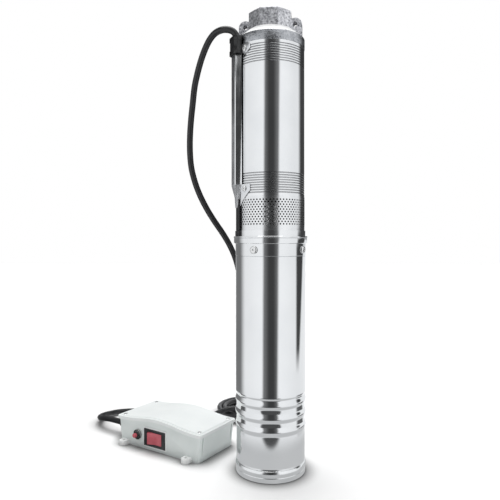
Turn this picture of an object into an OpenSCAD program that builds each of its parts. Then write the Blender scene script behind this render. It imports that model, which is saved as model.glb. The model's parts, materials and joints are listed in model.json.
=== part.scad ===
// Borehole pump with its control box and lead, in millimetres.
// The pump stands on the floor with its axis on Z, and the front of the pump faces -Y.
// An azimuth turns about Z: 0 is the front, and positive is towards +X.

/* [Motor case] */
// Outside diameter of the motor tube
motor_d = 96; // [92:1:104]
// Outside diameter of the plain lower part of the motor tube
lower_d = 94; // [90:1:95]
// Wall of the motor tube
shell_wall = 1.5; // [1:0.1:2]
// Height of the foot cap below the tube
foot_h = 18; // [16:1:26]
// Height of the turned rim at the bottom of the foot cap
foot_rim_h = 7; // [4:0.5:8]
// Height of the half-round ring above the rim
foot_ring_h = 8.5; // [5:0.5:9]
// How far the half-round ring stands out
foot_ring_rise = 1.4; // [0.6:0.1:2.4]
// Wall of the foot spigot inside the tube
foot_spigot_wall = 7; // [4:0.5:10]
// Thickness of the foot plate that the pump stands on
foot_plate_t = 9; // [6:0.5:12]
// Height of the foot spigot inside the tube
foot_spigot_h = 10; // [6:0.5:14]
// Height from the tube's lower edge to the step above the beads
lower_h = 90; // [90:1:96]
// Height of the lowest bead over the tube's lower edge
bead_first = 48; // [47:0.5:49]
// Distance between beads
bead_pitch = 17; // [14:0.5:17]
// Width of a bead
bead_w = 12.5; // [8:0.5:13]
// How far a bead stands out
bead_rise = 1.5; // [0.6:0.1:2]

/* [Motor core] */
// Diameter of the shaft in its bearings
shaft_d = 15; // [12:0.5:16]
// Diameter of the shaft inside the rotor
rotor_shaft_d = 20; // [18:0.5:24]
// Diameter of the rotor
rotor_d = 50; // [40:1:54]
// Length of the laminated core
core_len = 110; // [80:1:180]
// Air gap between rotor and stator
air_gap = 0.4; // [0.3:0.05:0.8]
// Height of a winding's end turns
winding_h = 20; // [12:0.5:21]
// Outside diameter of a winding's end turns
winding_d = 84; // [70:1:88]
// Room between the step in the tube and the core
core_gap = 10; // [6:0.5:20]
// Room between the upper winding and the end bell
end_gap = 2; // [1:0.5:8]
// Outside diameter of a ball bearing
bearing_od = 35; // [32:0.5:40]
// Width of a ball bearing
bearing_w = 11; // [9:0.5:14]
// Diameter of a bearing ball
ball_d = 6; // [4:0.25:6.5]
// Balls in a bearing
ball_count = 8; // [6:1:9]
// Wall round a bearing pocket
pocket_wall = 4.5; // [3:0.5:7]
// Outer wall of the bearing housings
housing_wall = 4.4; // [3:0.1:6]
// Height of the lower bearing housing
lower_housing_h = 31; // [29:0.5:33]
// Thickness of the web that carries a bearing
web_t = 6; // [4:0.5:7]
// Thickness of the rubber diaphragm's flange
diaphragm_t = 3; // [2:0.25:4]
// Height of the end bell inside the tube
bell_h = 44.5; // [40:0.5:60]
// Height of the end bell's spigot above the tube
bell_spigot_h = 14.5; // [12:0.5:15]
// Outside diameter of the shaft seal
seal_d = 30; // [26:0.5:34]
// Height of the cup that holds the shaft seal
seal_cup_h = 18; // [14:0.5:19]
// Diameter of the sand slinger
slinger_d = 48; // [36:1:60]

/* [Suction bracket and strainer] */
// Outside diameter of the skirt over the motor's end bell
skirt_d = 96.6; // [93:0.1:104]
// Height of the skirt
skirt_h = 17; // [16:0.5:24]
// Diameter of the flange ring
flange_d = 101; // [98:0.5:110]
// Height of the flange ring
flange_h = 9.5; // [6:0.5:14]
// How far the plain band above the flange stands out past the strainer
band_over = 1.2; // [0.6:0.1:2]
// Height of the plain band
band_h = 7.5; // [5:0.5:12]
// How far the strainer sleeve stands out past the barrel
strainer_over = 0.3; // [0.1:0.05:0.5]
// Thickness of the strainer sheet
sheet_t = 0.8; // [0.5:0.1:1]
// Height of the strainer sleeve
strainer_h = 45.6; // [44:0.1:60]
// Diameter of a strainer hole
strainer_hole_d = 3; // [1.5:0.1:3.6]
// Height of the first row of holes over the sleeve's lower edge
strainer_first = 8.9; // [5:0.1:10]
// Distance between rows of holes
strainer_row_pitch = 6; // [4.5:0.1:6]
// Inside diameter of the bracket's water chamber
chamber_d = 72; // [60:1:78]
// Width of an opening between the bracket's pillars
window_w = 50; // [30:1:52]
// Distance of such an opening from the chamber's ends
window_edge = 4.5; // [3:0.5:8]
// Length of the threaded spigot inside the barrel
inlet_spigot_h = 32; // [30:0.5:40]
// Diameter of the eye that leads to the first impeller
inlet_eye_d = 38; // [30:1:44]
// Diameter of the flange screws
flange_screw_d = 5; // [4:0.5:6]
// Head diameter of the flange screws
flange_screw_head_d = 10.6; // [8:0.2:12]
// Azimuth of the first flange screw
flange_screw_azimuth = -29; // [-45:1:45]

/* [Barrel and stages] */
// Outside diameter of the barrel
barrel_d = 93; // [92.6:0.1:93.4]
// Wall of the barrel
barrel_wall = 1.2; // [1:0.1:1.4]
// Distance between the rolled thread's grooves
roll_pitch = 3.2; // [2.8:0.1:3.4]
// Depth of a rolled groove
roll_depth = 0.7; // [0.3:0.1:0.7]
// Height of one pump stage
stage_pitch = 27.6; // [26:0.2:34]
// Diameter of an impeller
impeller_d = 72; // [60:1:74]
// Diameter of an impeller's eye
eye_d = 34; // [30:0.5:35]
// Thickness of an impeller's shrouds
shroud_t = 1.5; // [1:0.1:2]
// Height of an impeller's vanes
vane_h = 7; // [4:0.5:8]
// Thickness of all vanes
vane_t = 1.6; // [1:0.1:2.4]
// Diameter of an impeller's hub
hub_d = 20; // [18:0.5:24]
// Wall of a stage bowl
bowl_wall = 2; // [1.5:0.1:3]
// Thickness of a stage bowl's plates
bowl_plate_t = 2.5; // [1.5:0.1:3]
// Diameter of a stage bowl's guide plate
guide_plate_d = 76; // [70:1:80]
// Height of the upper bearing holder
holder_h = 5; // [4:0.5:9]
// Length of the shaft coupling
coupling_h = 40; // [34:1:44]
// Diameter of the shaft coupling
coupling_d = 26; // [22:0.5:34]

/* [Discharge head] */
// Length of the head's threaded spigot inside the barrel
head_spigot_h = 28; // [26:0.5:40]
// How far the cast collar stands out past the barrel
collar_over = 0.5; // [0.2:0.05:0.6]
// Height of the cast collar
collar_h = 13; // [8:0.5:20]
// Height of the cone above the collar
cone_h = 12; // [8:0.5:16]
// Width across the flats of the eight-sided boss
boss_af = 57.5; // [56:0.5:64]
// Height of the boss above the cone
boss_h = 25; // [22:0.5:40]
// Turn of the boss about Z
boss_turn = 16; // [0:1:44]
// Wall diameter of the threaded outlet
outlet_d = 39; // [30:0.5:40]
// Depth of the threaded outlet
outlet_depth = 23; // [16:0.5:30]
// Radius of a lifting lug's round end
lug_r = 9; // [7:0.5:11]
// Distance of a lug's hole from the axis
lug_x = 34.6; // [34:0.1:37]
// Height of a lug's hole under the top of the boss
lug_drop = 17; // [12:0.5:18]
// Thickness of a lug
lug_t = 11; // [6:0.5:12]
// Diameter of a lug's hole
lug_hole_d = 6; // [5:0.5:9]
// Turn of the lugs about Z, the right one towards the front
lug_turn = 10; // [0:1:20]

/* [Check valve] */
// Diameter of the valve chamber
valve_chamber_d = 48; // [44:0.5:50]
// Diameter of the throat below the valve seat
throat_d = 40; // [34:0.5:42]
// Bore of the valve seat
seat_bore_d = 30; // [24:0.5:34]
// Height of the valve seat
seat_h = 6; // [4:0.5:8]
// Diameter of the valve disc
poppet_d = 36; // [35:0.5:40]
// Diameter of the valve stem
stem_d = 6; // [4:0.5:8]
// Height of the valve guide
guide_h = 6; // [4:0.5:8]

/* [Cable guard] */
// Azimuth of the guard
guard_azimuth = -66; // [-75:1:-55]
// Width of the guard on the barrel
guard_w = 18; // [16:0.5:22]
// Width of the guard's flat front
guard_front_w = 13; // [11:0.5:15]
// Sheet thickness of the guard
guard_t = 1.2; // [0.8:0.1:1.5]
// How far the guard stands out from the barrel
guard_out = 9.5; // [8.5:0.1:13]
// Height of the guard's straight part
guard_h = 185; // [182:1:187]
// Height of the point that the channel runs out to
guard_tip_h = 20; // [16:1:24]
// Height of the tongue over the flat cable
guard_tongue_h = 31; // [28:1:36]
// Width of an ear beside the guard
guard_ear_w = 14; // [12:0.5:18]
// Height of an ear beside the guard
guard_ear_h = 12; // [11:0.5:16]
// Angle from the guard's middle to its screws
guard_screw_angle = 18; // [16.5:0.5:20]
// Diameter of the guard's screws
guard_screw_d = 4; // [3:0.5:5]
// Head diameter of the guard's screws
guard_screw_head_d = 7.6; // [6:0.2:9]
// Width of the flat motor cable
flat_cable_w = 10; // [8:0.5:11]
// Thickness of the flat motor cable
flat_cable_t = 3; // [2:0.25:3.5]
// Height of the splice sleeve
sleeve_h = 24; // [22:0.5:32]
// Wall of the splice sleeve round the guard
sleeve_wall = 1.2; // [1:0.1:2]

/* [Control box] */
// Place of the box's front left corner along X
box_x = -237; // [-260:1:-228]
// Place of the box's front left corner along Y
box_y = 98; // [90:1:110]
// Turn of the box about Z
box_turn = 33; // [28:1:38]
// Width of the lid
box_w = 166; // [158:1:172]
// Depth of the lid
box_d = 88; // [86:1:100]
// Height of the base
base_h = 36.5; // [36:0.5:50]
// Height of the lid's edge
lid_edge_h = 6; // [4:0.25:7]
// Rise of the lid's arch
lid_arch = 6.5; // [3:0.5:10]
// Height of the lid's raised panel
lid_step = 1; // [0.5:0.1:1.5]
// Margin round the lid's raised panel
lid_margin = 3.5; // [2:0.25:6]
// Wall of the box
box_wall = 2.5; // [2:0.1:3]
// How far the lid stands over the base
lid_overhang = 2; // [1:0.1:2.2]
// How far the base's ends lean in from top to bottom
base_lean = 4; // [2:0.25:6]
// Corner radius of the box
box_corner_r = 4; // [2:0.25:6]
// Distance of a lid screw from the lid's edges
lid_screw_inset = 9; // [8:0.25:11]
// Diameter of the lid screws
lid_screw_d = 3; // [2.5:0.5:4]
// Length of a lid screw in the base
lid_screw_l = 12; // [8:0.5:16]
// Diameter of a fixing hole in the box's lugs
ear_hole_d = 4.4; // [3:0.1:5.5]
// Radius of a fixing lug
ear_r = 6.5; // [4.5:0.25:7]
// Thickness of a fixing lug
ear_t = 7; // [3:0.25:8]
// Distance from the left of the lid to the left fixing lugs
ear_left = 18; // [10:0.5:20]
// Distance from the right of the lid to the right fixing lugs
ear_right = 24; // [24:0.5:34]

/* [Switch, reset button and parts in the box] */
// Place of the rocker switch along the front
switch_x = 78.5; // [74:0.5:84]
// Height of the switch and of the reset button
controls_z = 19; // [18:0.5:21]
// Width of the switch bezel
bezel_w = 42; // [36:0.5:43]
// Height of the switch bezel
bezel_h = 25.5; // [23:0.5:27]
// How far the switch bezel stands out
bezel_t = 2; // [1.5:0.25:3]
// Width of the switch body behind the front
switch_body_w = 32; // [31:0.5:34]
// Height of the switch body behind the front
switch_body_h = 20.5; // [20:0.5:22]
// Depth of the switch body behind the front
switch_depth = 24; // [20:0.5:30]
// Width of the rocker
rocker_w = 25; // [20:0.5:25]
// Height of the rocker
rocker_h = 17; // [14:0.5:17]
// Tilt of the rocker to either side
rocker_tilt = 9; // [6:0.5:10]
// Place of the reset button along the front
reset_x = 43; // [38:0.5:46]
// Diameter of the reset button's ring nut
ring_nut_d = 15; // [13:0.5:16]
// Diameter of the reset button's threaded bush
bush_d = 10; // [9:0.5:12]
// Depth of the reset switch behind the front
reset_depth = 24; // [18:0.5:30]
// Diameter of the reset button
button_d = 6.4; // [5:0.2:7]
// Travel of the reset button
button_travel = 2.5; // [1.5:0.25:3]
// Diameter of the run capacitor
capacitor_d = 31; // [26:0.5:31]
// Length of the run capacitor
capacitor_l = 62; // [50:1:66]
// Length of the terminal block
terminal_l = 44; // [30:1:48]
// Distance of the lead's gland from the front
gland_y = 25.5; // [24.5:0.5:28]
// Distance between the two glands
gland_pitch = 26; // [24:1:28]
// Height of the glands
gland_z = 19; // [18:0.5:22]
// Diameter of a gland's thread
gland_thread_d = 12; // [11:0.5:14]
// Length of a gland outside the box
gland_l = 16; // [14:0.5:17]

/* [Lead] */
// Diameter of the round lead
lead_d = 9; // [8:0.1:9.2]
// Turns in one column of the coil
coil_layers = 2; // [2:1:4]

/* [Hidden] */
$fn = 96;

// Counts that the node names fix
stage_count = 5;
bead_count = 3;
strainer_rows = 6;
strainer_per_row = 32;
window_count = 4;
flange_screw_count = 4;
lower_rolls = 9;
upper_rolls = 8;
impeller_vanes = 6;
guide_vanes = 8;

// Clearances
fit_gap = 0.1;
run_gap = 0.3;
shaft_gap = 0.05;
cut = 1;

// Heights up the motor
shell_z = foot_h;
step_z = shell_z + lower_h;
core_z = step_z + core_gap;
core_top_z = core_z + core_len;
bell_z = core_top_z + winding_h + end_gap;
shell_top_z = bell_z + bell_h;
foot_top_z = shell_z + foot_spigot_h;
housing_z = foot_top_z + diaphragm_t;
housing_top_z = housing_z + lower_housing_h;
lower_bearing_z = housing_top_z - bearing_w - 1;
upper_bearing_z = bell_z + 12;
upper_web_z = upper_bearing_z + bearing_w;
seal_z = upper_web_z + web_t + 3;
seal_top_z = seal_z + seal_cup_h;

// Heights up the pump
flange_z = shell_top_z + skirt_h;
band_z = flange_z + flange_h;
strainer_z = band_z + band_h;
barrel_z = strainer_z + strainer_h;
stack_z = barrel_z + inlet_spigot_h;
stack_top_z = stack_z + stage_count * stage_pitch;
holder_top_z = stack_top_z + holder_h;
barrel_top_z = holder_top_z + head_spigot_h;
collar_top_z = barrel_top_z + collar_h;
cone_top_z = collar_top_z + cone_h;
top_z = cone_top_z + boss_h;
coupling_z = band_z + 5;
coupling_mid_z = coupling_z + coupling_h / 2;
flange_screw_z = shell_top_z + skirt_h / 2;
lower_roll_z = barrel_z + 2;
upper_roll_z = barrel_top_z - 4 - upper_rolls * roll_pitch;

// Sizes that follow the barrel
collar_d = barrel_d + 2 * collar_over;
strainer_d = barrel_d + 2 * strainer_over;
band_d = strainer_d + 2 * band_over;
guard_r = barrel_d / 2 + guard_out;

// Radii that several pieces share
shell_in_r = motor_d / 2 - shell_wall;
lower_in_r = lower_d / 2 - shell_wall;
shaft_r = shaft_d / 2;
barrel_in_r = barrel_d / 2 - barrel_wall;
spigot_r = barrel_in_r - fit_gap;
strainer_in_r = strainer_d / 2 - sheet_t;
bell_spigot_r = shell_in_r - 1;
pitch_r = (bearing_od / 2 + shaft_r) / 2;
bowl_r = barrel_in_r - run_gap;

// Heights in the discharge head
valve_step_z = top_z - outlet_depth;
valve_seat_z = holder_top_z + 13;
disc_z = valve_seat_z + seat_h + 0.2;
lug_z = top_z - lug_drop;

// The guard stands on the barrel
guard_z = barrel_z + 16;
guard_top_z = guard_z + guard_h;
ear_in_r = max(barrel_d, strainer_d) / 2 + 0.2;
ear_out_r = ear_in_r + guard_t;
sleeve_z = guard_top_z - 11;
sleeve_in_r = collar_d / 2 + 0.6;
lower_ear_top_z = guard_z;
upper_ear_top_z = guard_top_z + 1;
lower_guard_screw_z = guard_z - 6;
upper_guard_screw_z = guard_top_z - 6;
flat_cable_r = ear_in_r + 0.1;
flat_cable_out_r = flat_cable_r + flat_cable_t;
sleeve_top_z = sleeve_z + sleeve_h;

// Places in the control box, from the lid's front left corner
lid_h = lid_edge_h + lid_arch + 10 * cut;
arch_top_z = base_h + lid_arch + cut;
front_y = lid_overhang;
back_y = box_d - lid_overhang;
pivot_y = front_y + 4;
capacitor_z = box_wall + run_gap + capacitor_d / 2;
capacitor_x = box_w - base_lean - box_wall - lid_overhang - 3 - capacitor_l;
capacitor_y = box_d * 0.62;
terminal_y = box_d - 32;

// Coil of the lead on the floor behind the pump
coil_centre = [-34, 222];
lead_pitch = lead_d + 0.3;
coil_inner_turn_r = 40;
coil_outer_turn_r = coil_inner_turn_r + lead_pitch;
coil_h = coil_layers * lead_pitch;
lead_sides = 10;

// The lead from the splice sleeve, over its arch and down behind the pump to the coil
lead_start_r = (sleeve_in_r + guard_r) / 2;
lead_start_x = lead_start_r * sin(guard_azimuth);
lead_start_y = -lead_start_r * cos(guard_azimuth);
pump_lead_route = [
    [lead_start_x, lead_start_y, sleeve_top_z], [lead_start_x, lead_start_y, sleeve_top_z + 3.5],
    [-51.5, -21, 596.5], [-58, -20.5, 599], [-66.5, -19, 599.2], [-75.5, -16, 596],
    [-83, -12, 589], [-89.5, -7.5, 578.5], [-95.5, -3, 565], [-101, 2.5, 549], [-106, 8, 530],
    [-109, 13, 509], [-112, 18, 487], [-114, 22, 464], [-114.5, 26, 442], [-113, 31, 420],
    [-108, 36, 399], [-101, 41, 380], [-91, 47, 360], [-80, 53, 342], [-68, 59, 324], [-58, 65, 306],
    [-50, 72, 286], [-44, 81, 260], [-40, 90, 233], [-36, 100, 205], [-28, 112, 176], [-16, 125, 148],
    [0, 140, 115], [12, 152, 85], [14, 164, 58], [4, 171, 38], [-14, 174, 23], [-34, 172.7, 14]
];

// A place in the control box, seen from the pump
function from_box(x, y, z) = [
    box_x + x * cos(box_turn) + y * sin(box_turn), box_y - x * sin(box_turn) + y * cos(box_turn), z];

// The lead from the coil, behind the box and round into its gland
box_lead_route = [
    [-42, 183, 16], [-58, 181, 24], [-78, 178, 20], [-98, 177, 11], [-118, 180, 6.5], [-140, 190, 4.8],
    [-165, 203, 4.8], [-190, 214, 4.8], [-215, 223, 4.8], [-240, 227, 4.8], [-262, 223, 5],
    [-278, 211, 5.8], [-287, 195, 7.5], [-287, 177, 10.5], [-280, 161, 14.5],
    from_box(-55, gland_y, gland_z - 1), from_box(-37, gland_y, gland_z), from_box(-11.2, gland_y, gland_z)
];

// A ring or tube standing on the XY plane
module ring(outer_r, inner_r, height) {
    difference() {
        cylinder(r = outer_r, h = height);
        translate([0, 0, -cut]) cylinder(r = inner_r, h = height + 2 * cut);
    }
}

// A solid turned about Z from an outline of radius and height
module turned(outline) {
    rotate_extrude() polygon(outline);
}

// A cylinder from the axis outwards at an azimuth and a height
module radial_rod(azimuth, z, from_r, to_r, diameter) {
    rotate([0, 0, azimuth])
        translate([0, -from_r, z])
            rotate([90, 0, 0]) cylinder(d = diameter, h = to_r - from_r);
}

// A pan head screw pointing at the axis
module radial_screw(azimuth, z, seat_r, shank_d, shank_l, head_d) {
    head_h = head_d * 0.24;
    rotate([0, 0, azimuth])
        translate([0, -seat_r, z])
            rotate([90, 0, 0])
                difference() {
                    union() {
                        translate([0, 0, -shank_l]) cylinder(d = shank_d, h = shank_l + head_h / 2);
                        turned([[0, 0], [head_d / 2, 0], [head_d / 2, head_h * 0.45],
                                [head_d * 0.4, head_h * 0.85], [head_d * 0.25, head_h], [0, head_h]]);
                    }
                    translate([0, 0, head_h * 0.4]) cylinder(d = head_d * 0.22, h = head_h);
                }
}

// Mirrored copies on both sides of X
module both_sides() {
    children();
    mirror([1, 0, 0]) children();
}

// The list in the other order
function reversed(list) = [for (i = [len(list) - 1 : -1 : 0]) list[i]];

// Motor case

function bead_z(i) = shell_z + bead_first + i * bead_pitch;
function lower_outline(offset) = concat(
    [[lower_d / 2 - offset, shell_z]],
    [for (i = [0 : bead_count - 1]) for (k = [-4 : 4])
        [lower_d / 2 - offset + bead_rise * (1 + cos(45 * k)) / 2, bead_z(i) + k * bead_w / 8]],
    [[lower_d / 2 - offset, step_z], [motor_d / 2 - offset, step_z + 1], [motor_d / 2 - offset, shell_top_z]]
);

module motor_shell() {
    color("silver")
        turned(concat(lower_outline(0), reversed(lower_outline(shell_wall))));
}

module bottom_cap() {
    rim_r = lower_d / 2 + 0.8;
    spigot = lower_in_r - fit_gap;
    half_round = [for (k = [0 : 8])
        [rim_r - 0.5 + foot_ring_rise * sin(22.5 * k), foot_rim_h + foot_ring_h * k / 8]];
    color("gainsboro")
        turned(concat(
            [[0, 0], [rim_r - 0.8, 0], [rim_r, 0.8], [rim_r, foot_rim_h - 0.5]],
            half_round,
            [[lower_d / 2 - 0.6, foot_rim_h + foot_ring_h + 0.4], [lower_d / 2 - 0.6, shell_z],
             [spigot, shell_z], [spigot, foot_top_z], [spigot - foot_spigot_wall, foot_top_z],
             [spigot - foot_spigot_wall, foot_plate_t], [0, foot_plate_t]]));
}

module diaphragm() {
    edge_r = lower_in_r - fit_gap;
    top = housing_z;
    fold_r = edge_r - foot_spigot_wall - 8;
    color("dimgray")
        turned([[0, top], [fold_r - 14, top], [fold_r - 10, top - 4], [fold_r - 4, top - 4], [fold_r, top],
                [edge_r, top], [edge_r, foot_top_z], [fold_r + 1.2, foot_top_z],
                [fold_r - 3, foot_top_z - 3.5], [fold_r - 11, foot_top_z - 3.5],
                [fold_r - 15, foot_top_z + 0.5], [0, foot_top_z + 0.5]]);
}

// Motor core

module lower_bearing_housing() {
    outer_r = lower_in_r - fit_gap;
    inner_r = outer_r - housing_wall;
    pocket_r = bearing_od / 2 + shaft_gap;
    web_z = lower_bearing_z - web_t;
    color("darkgray")
        turned([[rotor_shaft_d / 2, web_z], [inner_r, web_z], [inner_r, housing_z], [outer_r, housing_z],
                [outer_r, housing_top_z], [inner_r, housing_top_z], [inner_r, lower_bearing_z],
                [pocket_r + pocket_wall, lower_bearing_z], [pocket_r + pocket_wall, housing_top_z],
                [pocket_r, housing_top_z], [pocket_r, lower_bearing_z],
                [rotor_shaft_d / 2, lower_bearing_z]]);
}

module bearing_outer(z) {
    groove_r = ball_d / 2 + shaft_gap;
    shoulder_r = pitch_r + ball_d * 0.28;
    color("silver")
        rotate_extrude()
            difference() {
                translate([shoulder_r, z]) square([bearing_od / 2 - shoulder_r, bearing_w]);
                translate([pitch_r, z + bearing_w / 2]) circle(r = groove_r);
            }
}

module bearing_inner(z) {
    groove_r = ball_d / 2 + shaft_gap;
    shoulder_r = pitch_r - ball_d * 0.28;
    bore_r = shaft_r + shaft_gap;
    color("silver")
        rotate_extrude()
            difference() {
                translate([bore_r, z]) square([shoulder_r - bore_r, bearing_w]);
                translate([pitch_r, z + bearing_w / 2]) circle(r = groove_r);
            }
}

module bearing_balls() {
    color("gainsboro")
        for (z = [lower_bearing_z, upper_bearing_z])
            for (k = [0 : ball_count - 1])
                rotate([0, 0, k * 360 / ball_count])
                    translate([pitch_r, 0, z + bearing_w / 2]) sphere(d = ball_d);
}

module stator_core() {
    color("slategray")
        translate([0, 0, core_z]) ring(shell_in_r - fit_gap, rotor_d / 2 + air_gap, core_len);
}

module winding() {
    inner_r = rotor_d / 2 + 3;
    outer_r = winding_d / 2;
    bevel = winding_h * 0.2;
    turned([[inner_r, 0], [outer_r, 0], [outer_r, winding_h - bevel], [outer_r - bevel, winding_h],
            [inner_r + bevel, winding_h], [inner_r, winding_h - bevel]]);
}

module lower_winding() {
    color("chocolate")
        translate([0, 0, core_z]) mirror([0, 0, 1]) winding();
}

module upper_winding() {
    color("chocolate")
        translate([0, 0, core_top_z]) winding();
}

module rotor_core() {
    end_ring_h = 5;
    bore_r = rotor_shaft_d / 2 + shaft_gap;
    color("lightslategray")
        turned([[bore_r, core_z], [bore_r + 3, core_z], [bore_r + 3, core_z - end_ring_h],
                [rotor_d / 2 - 1, core_z - end_ring_h], [rotor_d / 2 - 1, core_z], [rotor_d / 2, core_z],
                [rotor_d / 2, core_top_z], [rotor_d / 2 - 1, core_top_z],
                [rotor_d / 2 - 1, core_top_z + end_ring_h], [bore_r + 3, core_top_z + end_ring_h],
                [bore_r + 3, core_top_z], [bore_r, core_top_z]]);
}

module motor_shaft() {
    end_z = lower_bearing_z - 3;
    top = coupling_mid_z - 1;
    color("silver")
        turned([[0, end_z], [shaft_r - 1, end_z], [shaft_r, end_z + 1],
                [shaft_r, lower_bearing_z + bearing_w],
                [rotor_shaft_d / 2, lower_bearing_z + bearing_w], [rotor_shaft_d / 2, upper_bearing_z],
                [shaft_r, upper_bearing_z], [shaft_r, top - 1], [shaft_r - 1, top], [0, top]]);
}

module end_bell() {
    outer_r = shell_in_r - fit_gap;
    inner_r = bell_spigot_r - housing_wall;
    pocket_r = bearing_od / 2 + shaft_gap;
    cup_r = seal_d / 2;
    web_top = upper_web_z + web_t + 3;
    top = shell_top_z + bell_spigot_h;
    color("darkgray")
        difference() {
            turned([[inner_r, bell_z], [outer_r, bell_z], [outer_r, shell_top_z],
                    [bell_spigot_r, shell_top_z],
                    [bell_spigot_r, top], [inner_r, top], [inner_r, web_top], [cup_r + 4, web_top],
                    [cup_r + 4, seal_top_z], [cup_r, seal_top_z], [cup_r, web_top], [shaft_r + 1.5, web_top],
                    [shaft_r + 1.5, upper_web_z], [pocket_r, upper_web_z], [pocket_r, upper_bearing_z],
                    [pocket_r + pocket_wall, upper_bearing_z], [pocket_r + pocket_wall, upper_web_z],
                    [inner_r, upper_web_z]]);
            flange_screw_holes();
        }
}

module seal_seat() {
    outer_r = seal_d / 2 - shaft_gap;
    color("ivory")
        translate([0, 0, seal_top_z - 6]) ring(outer_r, shaft_r + 1, 6);
}

module seal_head() {
    bore_r = shaft_r + shaft_gap;
    top = seal_top_z - 6 - run_gap;
    color("dimgray")
        turned([[bore_r, seal_z + run_gap], [seal_d / 2 - 2, seal_z + run_gap], [seal_d / 2 - 2, seal_z + 4],
                [seal_d / 2 - 3.5, seal_z + 4], [seal_d / 2 - 3.5, top], [bore_r, top]]);
}

module sand_slinger() {
    bore_r = shaft_r + shaft_gap;
    edge_r = slinger_d / 2;
    z = seal_top_z + 1.5;
    color("black")
        turned([[bore_r, z], [edge_r - 2, z], [edge_r - 2, z - 1], [edge_r, z - 1], [edge_r, z + 2],
                [bore_r + 4, z + 6], [bore_r, z + 6]]);
}

// Suction bracket and strainer

module flange_screw_holes() {
    for (k = [0 : flange_screw_count - 1])
        radial_rod(flange_screw_azimuth + k * 90, flange_screw_z, bell_spigot_r - 8, skirt_d / 2 + cut,
                   flange_screw_d + 2 * fit_gap);
}

module flange_screws() {
    color("whitesmoke")
        for (k = [0 : flange_screw_count - 1])
            radial_screw(flange_screw_azimuth + k * 90, flange_screw_z, skirt_d / 2 + shaft_gap,
                         flange_screw_d, 6, flange_screw_head_d);
}

module guard_screw_holes() {
    for (z = [lower_guard_screw_z, upper_guard_screw_z])
        for (side = [-1, 1])
            radial_rod(guard_azimuth + side * guard_screw_angle, z, spigot_r - 4, ear_out_r + cut,
                       guard_screw_d + 2 * fit_gap);
}

module bracket_window() {
    low = band_z + window_edge + band_h;
    high = barrel_z - window_edge;
    translate([-window_w / 2, -band_d / 2 - cut, low])
        cube([window_w, band_d / 2 - chamber_d / 2 + 8, high - low]);
}

module suction_bracket() {
    skirt_in_r = bell_spigot_r + fit_gap;
    flange_r = flange_d / 2;
    core_r = strainer_in_r - fit_gap;
    color("silver")
        difference() {
            turned([[skirt_in_r, shell_top_z], [skirt_d / 2, shell_top_z], [skirt_d / 2, flange_z],
                    [flange_r - 0.6, flange_z], [flange_r, flange_z + 0.6], [flange_r, band_z - 2],
                    [flange_r + 0.5, band_z - 1.2], [flange_r, band_z - 0.4], [flange_r - 0.6, band_z],
                    [band_d / 2, band_z], [band_d / 2, strainer_z], [core_r, strainer_z],
                    [core_r, barrel_z], [spigot_r, barrel_z], [spigot_r, stack_z],
                    [inlet_eye_d / 2, stack_z], [inlet_eye_d / 2, stack_z - 4],
                    [chamber_d / 2, barrel_z + 2], [chamber_d / 2, band_z], [slinger_d / 2 - 2, band_z],
                    [slinger_d / 2 - 2, flange_z], [skirt_in_r, flange_z]]);
            for (k = [0 : window_count - 1])
                rotate([0, 0, guard_azimuth + 45 + k * 360 / window_count]) bracket_window();
            flange_screw_holes();
            guard_screw_holes();
            cable_boot_block(fit_gap);
        }
}

module strainer_holes(row) {
    step = 360 / strainer_per_row;
    z = strainer_z + strainer_first + row * strainer_row_pitch;
    for (k = [0 : strainer_per_row - 1])
        radial_rod((k + (row % 2) / 2) * step, z, strainer_in_r - 0.5, strainer_d / 2 + 0.5, strainer_hole_d);
}

module strainer() {
    color("silver")
        difference() {
            translate([0, 0, strainer_z]) ring(strainer_d / 2, strainer_in_r, strainer_h);
            for (row = [0 : strainer_rows - 1]) strainer_holes(row);
        }
}

// Shaft and stages

module shaft_coupling() {
    color("gray")
        translate([0, 0, coupling_z]) ring(coupling_d / 2, shaft_r + shaft_gap, coupling_h);
}

module pump_shaft() {
    bottom = coupling_mid_z + 1;
    top = holder_top_z + 3;
    collar_r = hub_d / 2 - 0.5;
    color("silver")
        turned([[0, bottom], [shaft_r - 1, bottom], [shaft_r, bottom + 1], [shaft_r, stack_z - 6],
                [collar_r, stack_z - 6], [collar_r, stack_z], [shaft_r, stack_z], [shaft_r, top - 1],
                [shaft_r - 1, top], [0, top]]);
}

function stage_z(i) = stack_z + (i - 1) * stage_pitch;
function guide_plate_z() = 3.5 + 2 * shroud_t + vane_h + 3;

module guide_vane_ring(height) {
    intersection() {
        ring(bowl_r - bowl_wall / 2, hub_d / 2 + 4, height);
        for (k = [0 : guide_vanes - 1])
            rotate([0, 0, k * 360 / guide_vanes])
                translate([hub_d / 2, 4, 0])
                    rotate([0, 0, 25]) cube([bowl_r, vane_t, height]);
    }
}

module stage_bowl(i) {
    plate_z = guide_plate_z();
    color("beige")
        translate([0, 0, stage_z(i)])
            union() {
                ring(bowl_r, bowl_r - bowl_wall, stage_pitch);
                ring(bowl_r - bowl_wall / 2, eye_d / 2 + 2.5, bowl_plate_t);
                translate([0, 0, plate_z]) ring(guide_plate_d / 2, hub_d / 2 + 0.6, bowl_plate_t);
                translate([0, 0, plate_z + bowl_plate_t - 0.5])
                    guide_vane_ring(stage_pitch - plate_z - bowl_plate_t + 0.5);
            }
}

module impeller_vane(height) {
    bend_r = impeller_d / 3;
    intersection() {
        translate([0, -bend_r, 0]) ring(bend_r, bend_r - vane_t, height);
        ring(impeller_d / 2 - 0.5, hub_d / 2 + 2, height);
        translate([0, -impeller_d, 0]) cube([impeller_d, impeller_d, height]);
    }
}

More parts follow.
